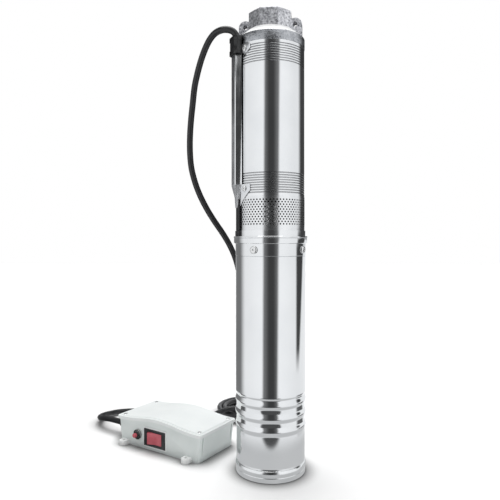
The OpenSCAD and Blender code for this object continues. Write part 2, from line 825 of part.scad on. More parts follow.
module impeller(i) {
    low = bowl_plate_t + 1;
    hub_h = stage_pitch - (i == stage_count ? run_gap : 0);
    color("tan")
        translate([0, 0, stage_z(i)])
            union() {
                ring(hub_d / 2, shaft_r + shaft_gap, hub_h);
                turned([[eye_d / 2, 0.3], [eye_d / 2 + 2, 0.3], [eye_d / 2 + 2, low], [impeller_d / 2, low],
                        [impeller_d / 2, low + shroud_t], [eye_d / 2, low + shroud_t]]);
                for (k = [0 : impeller_vanes - 1])
                    rotate([0, 0, k * 360 / impeller_vanes])
                        translate([0, 0, low + shroud_t / 2]) impeller_vane(vane_h + shroud_t);
                translate([0, 0, low + shroud_t + vane_h]) ring(impeller_d / 2, hub_d / 2 - 1, shroud_t);
            }
}

module bearing_holder() {
    hub_r = hub_d / 2 + 4;
    color("beige")
        translate([0, 0, stack_top_z])
            union() {
                ring(bowl_r, bowl_r - 5, holder_h);
                ring(hub_r, hub_d / 2 + shaft_gap, holder_h);
                for (k = [0 : 3])
                    rotate([0, 0, 45 + k * 90])
                        translate([hub_r - 1, -3, 0]) cube([bowl_r - hub_r - 3, 6, holder_h]);
            }
}

module bearing_bush() {
    color("black")
        translate([0, 0, stack_top_z]) ring(hub_d / 2, shaft_r + shaft_gap, holder_h);
}

// Barrel and discharge head

// Flat crests half a pitch high, with round grooves between them
function rolled(z, count) = [for (i = [0 : count - 1]) for (k = [0 : 3])
    [barrel_d / 2 - roll_depth * sin(45 * k), z + (i + 0.5 + k / 8) * roll_pitch]];

module pump_barrel() {
    color("silver")
        difference() {
            turned(concat(
                [[barrel_in_r, barrel_z], [barrel_d / 2, barrel_z]],
                rolled(lower_roll_z, lower_rolls),
                [[barrel_d / 2, lower_roll_z + lower_rolls * roll_pitch]],
                rolled(upper_roll_z, upper_rolls),
                [[barrel_d / 2, upper_roll_z + upper_rolls * roll_pitch], [barrel_d / 2, barrel_top_z],
                 [barrel_in_r, barrel_top_z]]));
            guard_screw_holes();
        }
}

module head_boss() {
    corner_r = boss_af / 2 / cos(22.5);
    intersection() {
        translate([0, 0, collar_top_z])
            rotate([0, 0, boss_turn]) cylinder(r = corner_r, h = top_z - collar_top_z, $fn = 8);
        turned([[0, collar_top_z - cut], [corner_r + cut, collar_top_z - cut], [corner_r + cut, top_z - 2.5],
                [boss_af / 2 - 1, top_z], [0, top_z]]);
    }
}

module lifting_lug() {
    rotate([90, 0, 0])
        linear_extrude(height = lug_t, center = true)
            union() {
                translate([lug_x, lug_z]) circle(r = lug_r);
                translate([lug_x - lug_r, collar_top_z]) square([2 * lug_r, lug_z - collar_top_z]);
                translate([valve_chamber_d / 2 + 2, collar_top_z])
                    square([lug_x - valve_chamber_d / 2 - 2, lug_z + lug_r * 0.9 - collar_top_z]);
            }
}

module discharge_head() {
    collar_r = collar_d / 2;
    color("darkgray")
        difference() {
            union() {
                turned([[0, holder_top_z], [spigot_r, holder_top_z], [spigot_r, barrel_top_z],
                        [collar_r - 0.4, barrel_top_z], [collar_r, barrel_top_z + 0.4],
                        [collar_r, collar_top_z - 0.5], [collar_r - 0.5, collar_top_z],
                        [boss_af / 2 + 3, cone_top_z], [0, cone_top_z]]);
                head_boss();
                rotate([0, 0, -lug_turn]) both_sides() lifting_lug();
            }
            translate([0, 0, valve_step_z]) cylinder(d = outlet_d, h = outlet_depth + cut);
            translate([0, 0, top_z - 2]) cylinder(d1 = outlet_d - 0.01, d2 = outlet_d + 4, h = 2.01);
            translate([0, 0, valve_seat_z]) cylinder(d = valve_chamber_d, h = valve_step_z - valve_seat_z);
            translate([0, 0, holder_top_z - cut])
                cylinder(d = throat_d, h = valve_seat_z - holder_top_z + 2 * cut);
            translate([0, 0, holder_top_z - 0.01])
                cylinder(r1 = spigot_r - 6, r2 = throat_d / 2 - 0.5, h = valve_seat_z - holder_top_z - 3);
            rotate([0, 0, -lug_turn])
                both_sides()
                    translate([lug_x, 0, lug_z]) rotate([90, 0, 0])
                        cylinder(d = lug_hole_d, h = lug_t + 2 * cut, center = true);
            guard_screw_holes();
        }
}

module valve_seat() {
    outer_r = valve_chamber_d / 2 - shaft_gap;
    inner_r = seat_bore_d / 2;
    top = valve_seat_z + seat_h;
    color("goldenrod")
        turned([[inner_r, valve_seat_z], [outer_r, valve_seat_z], [outer_r, top], [inner_r + 1, top],
                [inner_r, top - 1]]);
}

module check_valve() {
    disc_r = poppet_d / 2;
    stem_r = stem_d / 2;
    stem_top = valve_step_z - 1;
    color("black")
        turned([[0, disc_z], [disc_r, disc_z], [disc_r, disc_z + 3], [stem_r + 5, disc_z + 6],
                [stem_r, disc_z + 7], [stem_r, stem_top - 1], [stem_r - 1, stem_top], [0, stem_top]]);
}

module valve_guide() {
    rim_r = valve_chamber_d / 2 - shaft_gap;
    hub_r = stem_d / 2 + 4;
    color("goldenrod")
        translate([0, 0, valve_step_z - guide_h])
            union() {
                ring(rim_r, rim_r - 3.5, guide_h);
                ring(hub_r, stem_d / 2 + shaft_gap, guide_h);
                for (k = [0 : 2])
                    rotate([0, 0, k * 120])
                        translate([hub_r - 1, -2, 0]) cube([rim_r - hub_r - 1, 4, guide_h]);
            }
}

// Cable guard, with its radius along -Y before it is turned to its azimuth

// Half the guard's outside width at a radius
function guard_half_w(r) =
    guard_front_w / 2 + (guard_w - guard_front_w) / 2 * (guard_r - r) / (guard_r - ear_in_r);

// The guard's section between the barrel and a front radius, drawn in by a sheet thickness or not
module guard_section(inset) {
    front_r = guard_r - inset;
    front_half = guard_half_w(front_r) - inset;
    back_r = ear_in_r - (inset > 0 ? cut : 0);
    back_half = guard_half_w(back_r) - inset;
    polygon([[-back_half, -back_r], [-front_half, -front_r], [front_half, -front_r], [back_half, -back_r]]);
}

module guard_channel(inset) {
    translate([0, 0, guard_z - inset]) linear_extrude(height = guard_h + 2 * inset) guard_section(inset);
}

// The point that the guard runs out to over the flat cable
module guard_point(inset) {
    tip_z = guard_z - guard_tip_h;
    tip_half = inset > 0 ? 1.7 : 2.5;
    tip_in_r = flat_cable_out_r + 0.4;
    hull() {
        translate([0, 0, guard_z]) linear_extrude(height = 0.1) guard_section(inset);
        translate([-tip_half, -tip_in_r - guard_t + inset, tip_z + inset])
            cube([2 * tip_half, guard_t + (inset > 0 ? cut : 0), 0.1]);
    }
}

module guard_ear(outline) {
    intersection() {
        translate([0, 0, guard_z - guard_tongue_h])
            ring(ear_out_r, ear_in_r, guard_tongue_h + guard_h + guard_ear_h);
        rotate([90, 0, 0])
            linear_extrude(height = guard_r) polygon(outline);
    }
}

// The shallow tongue that holds the flat cable below the channel
module guard_tongue(inset) {
    out_r = flat_cable_out_r + 0.4 + guard_t - inset;
    back_r = ear_in_r - (inset > 0 ? cut : 0);
    back_half = guard_w / 2 - inset;
    front_half = flat_cable_w / 2 + 1.6 - inset;
    tip_half = inset > 0 ? 1.7 : 2.5;
    hull() {
        translate([0, 0, guard_z - 4])
            linear_extrude(height = 0.1)
                polygon([[-back_half, -back_r], [-front_half, -out_r],
                         [front_half, -out_r], [back_half, -back_r]]);
        translate([-tip_half, -out_r, guard_z - guard_tongue_h + inset])
            cube([2 * tip_half, guard_t + (inset > 0 ? cut : 0), 0.1]);
    }
}

// Room for the flat cable under the guard's lower end
module guard_cable_room() {
    half_w = flat_cable_w / 2 + run_gap;
    translate([-half_w, -flat_cable_out_r - run_gap, guard_z - guard_tongue_h - cut])
        cube([2 * half_w, flat_cable_t + 2, guard_tongue_h + guard_h + 2 * cut]);
}

module cable_guard() {
    inner_x = guard_w / 2 - guard_t;
    edge_x = flat_cable_w / 2 + 0.8;
    outer_x = guard_w / 2 - 0.2 + guard_ear_w;
    lower_ear = [[inner_x, lower_ear_top_z], [outer_x, lower_ear_top_z], [outer_x, lower_ear_top_z - 9],
                 [edge_x, guard_z - guard_tongue_h + 3], [edge_x, guard_z - guard_tip_h / 2]];
    upper_ear = [[inner_x, upper_ear_top_z], [outer_x - 2, upper_ear_top_z], [outer_x, upper_ear_top_z - 2],
                 [outer_x, upper_ear_top_z - guard_ear_h + 4],
                 [outer_x - 4, upper_ear_top_z - guard_ear_h], [inner_x, upper_ear_top_z - guard_ear_h]];
    color("silver")
        difference() {
            rotate([0, 0, guard_azimuth])
                union() {
                    difference() {
                        union() {
                            guard_channel(0);
                            guard_point(0);
                            guard_tongue(0);
                        }
                        guard_channel(guard_t);
                        guard_point(guard_t);
                        guard_tongue(guard_t);
                        guard_cable_room();
                    }
                    both_sides() guard_ear(lower_ear);
                    both_sides() guard_ear(upper_ear);
                }
            guard_screw_holes();
        }
}

module guard_screws() {
    color("whitesmoke")
        for (z = [lower_guard_screw_z, upper_guard_screw_z])
            for (side = [-1, 1])
                radial_screw(guard_azimuth + side * guard_screw_angle, z, ear_out_r + shaft_gap,
                             guard_screw_d, 4.5, guard_screw_head_d);
}

// A block with bevelled upright edges, from one radius to another
module bevelled_block(half_w, out_r, in_r, height) {
    bevel = (guard_w - guard_front_w) / 2 + 0.8;
    linear_extrude(height = height)
        polygon([[-half_w, -in_r], [-half_w, -out_r + bevel], [-half_w + bevel, -out_r],
                 [half_w - bevel, -out_r], [half_w, -out_r + bevel], [half_w, -in_r]]);
}

module guard_sleeve() {
    half_w = guard_w / 2 + run_gap + sleeve_wall;
    out_r = guard_r + run_gap + sleeve_wall;
    band = sleeve_h * 0.26;
    color("black")
        rotate([0, 0, guard_azimuth])
            translate([0, 0, sleeve_z])
                difference() {
                    union() {
                        bevelled_block(half_w, out_r, sleeve_in_r, sleeve_h);
                        bevelled_block(half_w + 0.6, out_r + 0.6, sleeve_in_r, band);
                        translate([0, 0, sleeve_h - band])
                            bevelled_block(half_w + 0.6, out_r + 0.6, sleeve_in_r, band);
                    }
                    translate([0, 0, -cut])
                        linear_extrude(height = guard_top_z - sleeve_z + run_gap + cut)
                            guard_section(-run_gap);
                }
}

module motor_cable() {
    half_w = flat_cable_w / 2;
    bevel = flat_cable_t * 0.3;
    z = strainer_z;
    color("black")
        rotate([0, 0, guard_azimuth])
            translate([0, -flat_cable_r, z])
                linear_extrude(height = guard_top_z - z)
                    polygon([[-half_w + bevel, 0], [half_w - bevel, 0], [half_w, -bevel],
                             [half_w, -flat_cable_t + bevel], [half_w - bevel, -flat_cable_t],
                             [-half_w + bevel, -flat_cable_t], [-half_w, -flat_cable_t + bevel],
                             [-half_w, -bevel]]);
}

module cable_boot_block(gap) {
    half_w = flat_cable_w / 2 + 1.5 + gap;
    in_r = flat_cable_r - 2 - gap;
    rotate([0, 0, guard_azimuth])
        translate([-half_w, -flat_cable_r - flat_cable_t - 0.3, band_z])
            cube([2 * half_w, flat_cable_r + flat_cable_t + 0.3 - in_r, band_h]);
}

module cable_boot() {
    color("black") cable_boot_block(0);
}

// Control box, from the lid's front left corner: X runs along the front, and Y to the back

module at_box() {
    translate([box_x, box_y, 0]) rotate([0, 0, -box_turn]) children();
}

// Corners of a rectangle with round corners, as one outline
function rounded(low, high, r) = [for (c = [0 : 3]) for (k = [0 : 5])
    let (angle = c * 90 + k * 18,
         x = (c == 0 || c == 3) ? high[0] - r : low[0] + r,
         y = (c == 0 || c == 1) ? high[1] - r : low[1] + r)
    [x + r * cos(angle), y + r * sin(angle)]];

// A block whose ends lean in towards the bottom
module leaning_block(inset, bottom_z, top_z, r) {
    half_w = box_w / 2 - lid_overhang - inset;
    half_d = box_d / 2 - lid_overhang - inset;
    low = [half_w - base_lean * (1 - bottom_z / base_h), half_d];
    high = [half_w - base_lean * (1 - top_z / base_h), half_d];
    low_ring = [for (p = rounded(-low, low, r)) [p[0], p[1], bottom_z]];
    high_ring = [for (p = rounded(-high, high, r)) [p[0], p[1], top_z]];
    count = len(low_ring);
    walls = [for (k = [0 : count - 1])
        let (next = (k + 1) % count)
        [k, count + k, count + next, next]];
    floor_face = [[for (k = [0 : count - 1]) k]];
    top_face = [[for (k = [count - 1 : -1 : 0]) count + k]];
    translate([box_w / 2, box_d / 2, 0])
        polyhedron(points = concat(low_ring, high_ring), faces = concat(floor_face, walls, top_face));
}

module lid_screw_places() {
    for (x = [lid_screw_inset, box_w - lid_screw_inset])
        for (y = [lid_screw_inset, box_d - lid_screw_inset])
            translate([x, y, 0]) children();
}

module fixing_ear(x, y, side) {
    reach = ear_r - 1;
    translate([x, y + side * reach, 0])
        difference() {
            union() {
                cylinder(r = ear_r, h = ear_t);
                translate([-ear_r, side > 0 ? -reach - 1 : 0, 0]) cube([2 * ear_r, reach + 1, ear_t]);
            }
            translate([0, 0, -cut]) cylinder(d = ear_hole_d, h = ear_t + 2 * cut);
        }
}

module fixing_ears() {
    for (x = [ear_left, box_w - ear_right]) {
        fixing_ear(x, front_y, -1);
        fixing_ear(x, back_y, 1);
    }
}

module gland_axis(k) {
    translate([0, gland_y + k * gland_pitch, gland_z]) rotate([0, -90, 0]) children();
}

module capacitor_cradle() {
    low = box_wall - 0.5;
    difference() {
        for (x = [capacitor_x + 12, capacitor_x + capacitor_l - 15])
            translate([x, capacitor_y - capacitor_d / 2 - 2, low])
                cube([3, capacitor_d + 4, capacitor_d * 0.4]);
        translate([0, capacitor_y, capacitor_z])
            rotate([0, 90, 0]) cylinder(d = capacitor_d + 2 * run_gap, h = box_w);
    }
}

module switch_frame() {
    border = 1.6;
    translate([switch_x - bezel_w / 2 - border, front_y - 1.2, controls_z - bezel_h / 2 - border])
        difference() {
            cube([bezel_w + 2 * border, 1.2 + box_wall / 2, bezel_h + 2 * border]);
            translate([border - fit_gap, -cut, border - fit_gap])
                cube([bezel_w + 2 * fit_gap, 1.2 + cut, bezel_h + 2 * fit_gap]);
        }
}

module base_openings() {
    translate([switch_x - switch_body_w / 2 - fit_gap, front_y - 3, controls_z - switch_body_h / 2 - fit_gap])
        cube([switch_body_w + 2 * fit_gap, box_wall + 6, switch_body_h + 2 * fit_gap]);
    translate([reset_x, front_y + box_wall + 2, controls_z])
        rotate([90, 0, 0]) cylinder(d = bush_d + 2 * fit_gap, h = box_wall + 4);
    for (k = [0, 1])
        gland_axis(k) translate([0, 0, -gland_l]) cylinder(d = gland_thread_d + 2 * fit_gap, h = 2 * gland_l);
    lid_screw_places()
        translate([0, 0, base_h - lid_screw_l - 2 * cut])
            cylinder(d = lid_screw_d + 2 * fit_gap, h = lid_screw_l + 3 * cut);
    for (x = [0, box_w - lid_overhang - 3.5])
        for (y = [lid_screw_inset, box_d - lid_screw_inset])
            translate([x, y - 1.3, base_h * 0.25]) cube([lid_overhang + 3.5, 2.6, base_h]);
}

module box_base() {
    color("honeydew")
        difference() {
            union() {
                difference() {
                    intersection() {
                        leaning_block(0, 0, arch_top_z, box_corner_r);
                        arched_prism(-cut, base_h);
                    }
                    leaning_block(box_wall, box_wall, arch_top_z + cut, box_corner_r - 1);
                }
                intersection() {
                    leaning_block(0.1, 0, base_h, box_corner_r);
                    lid_screw_places() translate([0, 0, box_wall - 0.5]) cylinder(r = 6.5, h = base_h);
                }
                for (k = [0, 1])
                    gland_axis(k) translate([0, 0, -8]) cylinder(d = gland_thread_d + 8, h = 8);
                fixing_ears();
                switch_frame();
                capacitor_cradle();
            }
            base_openings();
        }
}

function arch(x) = abs(x - box_w / 2) < box_w * 0.44
    ? lid_arch * (1 + cos(180 * (x - box_w / 2) / (box_w * 0.44))) / 2 : 0;

// A section along X from one height up to the arch, a little deeper than the lid
module arched_prism(low_z, edge_z) {
    steps = 40;
    translate([0, box_d + cut, 0])
        rotate([90, 0, 0])
            linear_extrude(height = box_d + 2 * cut)
                polygon(concat(
                    [[box_w, low_z], [0, low_z]],
                    [for (k = [0 : steps]) let (x = box_w * k / steps) [x, edge_z + arch(x)]]));
}

module arched_block(inset, low_z, edge_z) {
    intersection() {
        arched_prism(low_z, edge_z);
        translate([0, 0, low_z - cut])
            linear_extrude(height = 2 * lid_h)
                polygon(rounded([inset, inset], [box_w - inset, box_d - inset], box_corner_r));
    }
}

module box_lid() {
    edge_z = base_h + lid_edge_h - lid_step;
    color("mintcream")
        difference() {
            union() {
                arched_block(0, base_h, edge_z);
                arched_block(lid_margin, base_h, edge_z + lid_step);
            }
            arched_prism(base_h - cut, base_h);
            difference() {
                arched_block(box_wall + lid_overhang, base_h - cut, edge_z - box_wall + lid_step);
                lid_screw_places()
                    translate([0, 0, base_h - 2 * cut]) cylinder(r = 2 * lid_screw_d, h = lid_h);
            }
            lid_screw_places() {
                translate([0, 0, base_h - cut]) cylinder(d = lid_screw_d + 2 * fit_gap, h = lid_h);
                translate([0, 0, edge_z - 0.6]) cylinder(d = lid_screw_d * 2 + 1, h = lid_h);
            }
        }
}

module lid_screws() {
    seat_z = base_h + lid_edge_h - lid_step - 0.6;
    color("lightgray")
        lid_screw_places()
            difference() {
                union() {
                    translate([0, 0, base_h - lid_screw_l])
                        cylinder(d = lid_screw_d, h = seat_z - base_h + lid_screw_l + 0.5);
                    translate([0, 0, seat_z])
                        turned([[0, 0], [lid_screw_d, 0], [lid_screw_d, 0.8], [lid_screw_d * 0.7, 1.5],
                                [0, 1.5]]);
                }
                translate([-0.4, -lid_screw_d * 0.6, seat_z + 0.9]) cube([0.8, lid_screw_d * 1.2, 2]);
            }
}

// Switch and reset button

module switch_body() {
    well_w = rocker_w * cos(rocker_tilt) + 14 * sin(rocker_tilt) + 2 * run_gap + 0.4;
    well_h = rocker_h + 2 * run_gap;
    color("black")
        translate([switch_x, front_y, controls_z])
            difference() {
                union() {
                    translate([-bezel_w / 2, -bezel_t, -bezel_h / 2]) cube([bezel_w, bezel_t, bezel_h]);
                    translate([-switch_body_w / 2, -0.5, -switch_body_h / 2])
                        cube([switch_body_w, switch_depth, switch_body_h]);
                }
                translate([-well_w / 2, -bezel_t - cut, -well_h / 2])
                    cube([well_w, 14 + bezel_t + cut, well_h]);
                translate([0, pivot_y - front_y, -switch_body_h / 2 + 0.6])
                    cylinder(d = 3 + 2 * shaft_gap, h = switch_body_h - 1.2);
            }
}

module rocker() {
    half = rocker_w / 2;
    color("crimson")
        at_pivot()
            rotate([0, 0, rocker_tilt])
                union() {
                    translate([0, 0, -rocker_h / 2])
                        linear_extrude(height = rocker_h)
                            polygon([[-half, -8], [0, -6.2], [half, -8], [half, -3], [half * 0.5, 4],
                                     [-half * 0.5, 4], [-half, -3]]);
                    translate([0, 0, -switch_body_h / 2 + 1]) cylinder(d = 3, h = switch_body_h - 2);
                }
}

module at_pivot() {
    translate([switch_x, pivot_y, controls_z]) children();
}

module reset_body() {
    color("dimgray")
        translate([reset_x, front_y, controls_z])
            rotate([90, 0, 0])
                difference() {
                    union() {
                        cylinder(d = ring_nut_d, h = 2.6);
                        translate([0, 0, -box_wall - cut]) cylinder(d = bush_d, h = box_wall + cut + 5.5);
                        translate([0, 0, -reset_depth])
                            cylinder(d = ring_nut_d + 1, h = reset_depth - box_wall);
                    }
                    translate([0, 0, -9.5 - button_travel]) cylinder(d = button_d + 2 * shaft_gap, h = 20);
                }
}

module reset_button() {
    r = button_d / 2;
    color("red")
        translate([reset_x, front_y, controls_z])
            rotate([90, 0, 0])
                turned([[0, -8], [r, -8], [r, 8.6], [r * 0.8, 9.4], [0, 9.8]]);
}

// Parts in the box

module capacitor() {
    r = capacitor_d / 2;
    color("whitesmoke")
        translate([capacitor_x, capacitor_y, capacitor_z])
            rotate([0, 90, 0])
                turned([[0, 0], [r - 1.5, 0], [r, 1.5], [r, capacitor_l - 1.5], [r - 1.5, capacitor_l],
                        [5, capacitor_l], [5, capacitor_l + 2], [0, capacitor_l + 2]]);
}

module terminal_block() {
    ways = 4;
    way = terminal_l / ways;
    color("white")
        translate([20, terminal_y, box_wall + fit_gap])
            difference() {
                cube([terminal_l, 16, 14]);
                for (k = [0 : ways - 1])
                    translate([way * (k + 0.5), 8, 8]) cylinder(d = 5, h = 10);
            }
}

module box_glands() {
    color("dimgray")
        for (k = [0, 1])
            gland_axis(k)
                difference() {
                    union() {
                        cylinder(r = gland_thread_d / 2 + 3.4, h = gland_l / 2, $fn = 6);
                        turned([[0, 0], [gland_thread_d / 2 + 1.5, 0],
                                [gland_thread_d / 2 + 1.5, gland_l - 4],
                                [gland_thread_d / 2, gland_l], [0, gland_l]]);
                        translate([0, 0, -12]) cylinder(d = gland_thread_d, h = 13);
                        translate([0, 0, -11.2]) cylinder(r = gland_thread_d / 2 + 3, h = 3, $fn = 6);
                    }
                    translate([0, 0, gland_l - 7]) cylinder(d = lead_d + 0.8, h = 8);
                }
}

// Lead

function unit(v) = v / norm(v);
function tangent(route, i) = unit(route[min(i + 1, len(route) - 1)] - route[max(i - 1, 0)]);
function ring_point(centre, along, aside, k) =
    let (across = unit(cross(along, aside)), up = cross(across, along), angle = k * 360 / lead_sides)
    centre + lead_d / 2 * (cos(angle) * across + sin(angle) * up);

// A round tube along a route, with the reference direction never along the route
module lead_tube(route, aside) {
    rings = len(route);
    last = (rings - 1) * lead_sides;
    points = [for (i = [0 : rings - 1]) for (k = [0 : lead_sides - 1])
        ring_point(route[i], tangent(route, i), aside, k)];
    walls = [for (i = [0 : rings - 2]) for (k = [0 : lead_sides - 1])
        let (next = (k + 1) % lead_sides)
        [i * lead_sides + k, (i + 1) * lead_sides + k, (i + 1) * lead_sides + next, i * lead_sides + next]];
    start_cap = [[for (k = [0 : lead_sides - 1]) k]];
    end_cap = [[for (k = [lead_sides - 1 : -1 : 0]) last + k]];
    polyhedron(points = points, faces = concat(start_cap, walls, end_cap), convexity = 8);
}

module pump_lead() {
    color("black") lead_tube(pump_lead_route, [0.7, 0.7, 0.14]);
}

module box_lead() {
    color("black") lead_tube(box_lead_route, [0, 0, 1]);
}

module lead_coil() {
    low_r = coil_inner_turn_r - lead_pitch / 2;
    high_r = coil_outer_turn_r + lead_pitch / 2;
    bevel = lead_d * 0.3;
    color("black")
        translate([coil_centre[0], coil_centre[1], 0])
            turned([[low_r, bevel], [low_r + bevel, 0], [high_r - bevel, 0], [high_r, bevel],
                    [high_r, coil_h - bevel], [high_r - bevel, coil_h], [low_r + bevel, coil_h],
                    [low_r, coil_h - bevel]]);
}

// Every node by its name

bottom_cap();
diaphragm();
lower_bearing_housing();
bearing_outer(lower_bearing_z);  // lower_bearing_outer
bearing_inner(lower_bearing_z);  // lower_bearing_inner
bearing_balls();
motor_shell();
stator_core();
lower_winding();
upper_winding();
rotor_core();
motor_shaft();
bearing_outer(upper_bearing_z);  // upper_bearing_outer
bearing_inner(upper_bearing_z);  // upper_bearing_inner
end_bell();
seal_seat();
seal_head();
sand_slinger();
suction_bracket();
flange_screws();
strainer();
shaft_coupling();
pump_shaft();
for (i = [1 : stage_count]) {
    stage_bowl(i);
    impeller(i);
}
bearing_holder();
bearing_bush();
pump_barrel();
discharge_head();
valve_seat();
check_valve();
valve_guide();
cable_guard();
guard_screws();
guard_sleeve();
motor_cable();
cable_boot();
at_box() box_base();
at_box() box_lid();
at_box() lid_screws();
at_box() switch_body();
at_box() rocker();
at_box() reset_body();
at_box() reset_button();
at_box() capacitor();
at_box() terminal_block();
at_box() box_glands();
pump_lead();
lead_coil();
box_lead();
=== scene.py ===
"""Borehole pump with its control box and lead, dressed for the photograph's view."""

import json
import math

import bmesh
import bpy
from mathutils import Matrix, Vector


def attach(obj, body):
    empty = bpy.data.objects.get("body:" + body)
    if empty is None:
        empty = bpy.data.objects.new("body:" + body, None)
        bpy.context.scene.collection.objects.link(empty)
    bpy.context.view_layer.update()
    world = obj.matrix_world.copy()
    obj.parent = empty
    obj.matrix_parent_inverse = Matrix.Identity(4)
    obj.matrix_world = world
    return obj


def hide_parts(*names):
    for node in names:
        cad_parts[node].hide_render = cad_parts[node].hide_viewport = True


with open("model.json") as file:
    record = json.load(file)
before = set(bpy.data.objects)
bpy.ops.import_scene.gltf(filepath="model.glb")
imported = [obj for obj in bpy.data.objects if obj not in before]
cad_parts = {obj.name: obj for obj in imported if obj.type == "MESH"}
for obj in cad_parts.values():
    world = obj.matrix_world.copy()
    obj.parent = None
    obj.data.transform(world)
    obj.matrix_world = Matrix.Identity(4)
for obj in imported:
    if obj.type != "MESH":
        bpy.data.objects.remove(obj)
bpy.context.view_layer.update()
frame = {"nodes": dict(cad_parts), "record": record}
nodes = frame["nodes"]
record = frame["record"]
scene = bpy.context.scene
MM = 0.001

body_of_node = {}
for body_name, body_nodes in record["behaviour"]["bodies"].items():
    for node_name in body_nodes:
        body_of_node[node_name] = body_name
slot_of_node = {part["node"]: part["material_slot"] for part in record["subparts"]}


# Camera

IMAGE_PX = 500
FOCAL_PX = 520
SENSOR_MM = 36
HORIZON_PX = 240
CAMERA_PLACE = (-0.0284, -0.72, 0.316)


def add_camera():
    data = bpy.data.cameras.new("view")
    data.sensor_width = SENSOR_MM
    data.lens = FOCAL_PX / IMAGE_PX * SENSOR_MM
    data.shift_y = (HORIZON_PX - IMAGE_PX / 2) / IMAGE_PX
    camera = bpy.data.objects.new("view", data)
    scene.collection.objects.link(camera)
    camera.location = CAMERA_PLACE
    camera.rotation_euler = (math.pi / 2, 0, 0)
    scene.camera = camera


add_camera()


# Soft steps

def soft_step(value, low, high):
    """0 below low and 1 above high, with a smooth rise between them."""
    share = min(max((value - low) / (high - low), 0), 1)
    return share * share * (3 - 2 * share)


def soft_band(value, low, high, soft):
    """1 between low and high, 0 outside, with soft edges."""
    return soft_step(value, low - soft, low + soft) * (1 - soft_step(value, high - soft, high + soft))


def mixed(level, other, share):
    return level + (other - level) * share


# Materials

NOISE_MIDDLE = (0.3, 0.7)
EVEN = (1, 1, 1)
ROUND_THE_TUBE = (0.02, 0.02, 1)
CLOUD_DETAIL = 3
WAVE_DETAIL = 1


def new_material(name):
    material = bpy.data.materials.new(name)
    material.use_nodes = True
    tree = material.node_tree
    shader = tree.nodes["Principled BSDF"]
    return material, tree, shader


def maths(tree, kind, a, b):
    """The result of one kind of sum on two numbers or sockets."""
    node = tree.nodes.new("ShaderNodeMath")
    node.operation = kind
    for socket, value in zip(node.inputs, (a, b)):
        if isinstance(value, (int, float)):
            socket.default_value = value
        else:
            tree.links.new(value, socket)
    return node.outputs["Value"]


def mapped(tree, value, given, wanted):
    """A socket's values stretched from one range to another."""
    spread = tree.nodes.new("ShaderNodeMapRange")
    spread.inputs["From Min"].default_value = given[0]
    spread.inputs["From Max"].default_value = given[1]
    spread.inputs["To Min"].default_value = wanted[0]
    spread.inputs["To Max"].default_value = wanted[1]
    tree.links.new(value, spread.inputs["Value"])
    return spread.outputs["Result"]


def grain(tree, scale, stretch, detail):
    """Noise on the piece's own coordinates, stretched along its axes."""
    place = tree.nodes.new("ShaderNodeTexCoord")
    mapping = tree.nodes.new("ShaderNodeMapping")
    mapping.inputs["Scale"].default_value = stretch
    noise = tree.nodes.new("ShaderNodeTexNoise")
    noise.inputs["Scale"].default_value = scale
    noise.inputs["Detail"].default_value = detail
    tree.links.new(place.outputs["Object"], mapping.inputs["Vector"])
    tree.links.new(mapping.outputs["Vector"], noise.inputs["Vector"])
    return noise


def tinted(tree, source, dark, light):
    """A colour between two tones, led by the noise."""
    tones = tree.nodes.new("ShaderNodeValToRGB")
    for end, place, colour in zip(tones.color_ramp.elements, NOISE_MIDDLE, (dark, light)):
        end.position = place
        end.color = (*colour, 1)
    tree.links.new(source.outputs["Fac"], tones.inputs["Fac"])
    return tones


def raised(tree, shader, source, strength, height, under=None):
    """Bump from the noise, in metres, on top of another bump where there is one."""
    bump = tree.nodes.new("ShaderNodeBump")
    bump.inputs["Strength"].default_value = strength
    bump.inputs["Distance"].default_value = height
    tree.links.new(source.outputs["Fac"], bump.inputs["Height"])
    if under is not None:
        tree.links.new(under.outputs["Normal"], bump.inputs["Normal"])
    tree.links.new(bump.outputs["Normal"], shader.inputs["Normal"])
    return bump


def finish(name, dark, light, metallic, rough, fine, stretch, bump, cloud=40, detail=4, wave=None):
    """A finish with cloudy tone and roughness, a fine raised grain and, on thin sheet, slow waves.

    fine and cloud are the scales of the two noises; bump is the grain's strength and height in metres;
    wave is the waves' scale and height in metres.
    """
    material, tree, shader = new_material(name)
    clouds = grain(tree, cloud, EVEN, CLOUD_DETAIL)
    fine_grain = grain(tree, fine, stretch, detail)
    tone = tinted(tree, clouds, dark, light)
    roughness = mapped(tree, clouds.outputs["Fac"], NOISE_MIDDLE, rough)
    tree.links.new(tone.outputs["Color"], shader.inputs["Base Color"])
    tree.links.new(roughness, shader.inputs["Roughness"])
    shader.inputs["Metallic"].default_value = metallic
    waves = None
    if wave is not None:
        waves = raised(tree, shader, grain(tree, wave[0], EVEN, WAVE_DETAIL), 1, wave[1])
    raised(tree, shader, fine_grain, bump[0], bump[1], waves)
    return material


steel_tube = finish("steel_tube", dark=(0.76, 0.77, 0.78), light=(0.83, 0.835, 0.84), metallic=1,
                    rough=(0.07, 0.12), fine=4000, stretch=ROUND_THE_TUBE, bump=(0.03, 0.0002), cloud=14,
                    wave=(22, 0.00012))
steel_barrel = finish("steel_barrel", dark=(0.76, 0.77, 0.78), light=(0.83, 0.835, 0.84), metallic=1,
                      rough=(0.07, 0.12), fine=4000, stretch=ROUND_THE_TUBE, bump=(0.03, 0.0002), cloud=18,
                      wave=(22, 0.00012))
steel_sheet = finish("steel_sheet", dark=(0.74, 0.75, 0.76), light=(0.82, 0.825, 0.83), metallic=1,
                     rough=(0.12, 0.2), fine=2600, stretch=EVEN, bump=(0.04, 0.0002), cloud=60)
turned_steel = finish("turned_steel", dark=(0.74, 0.75, 0.755), light=(0.82, 0.825, 0.83), metallic=1,
                      rough=(0.1, 0.17), fine=3200, stretch=ROUND_THE_TUBE, bump=(0.06, 0.0003), cloud=40)
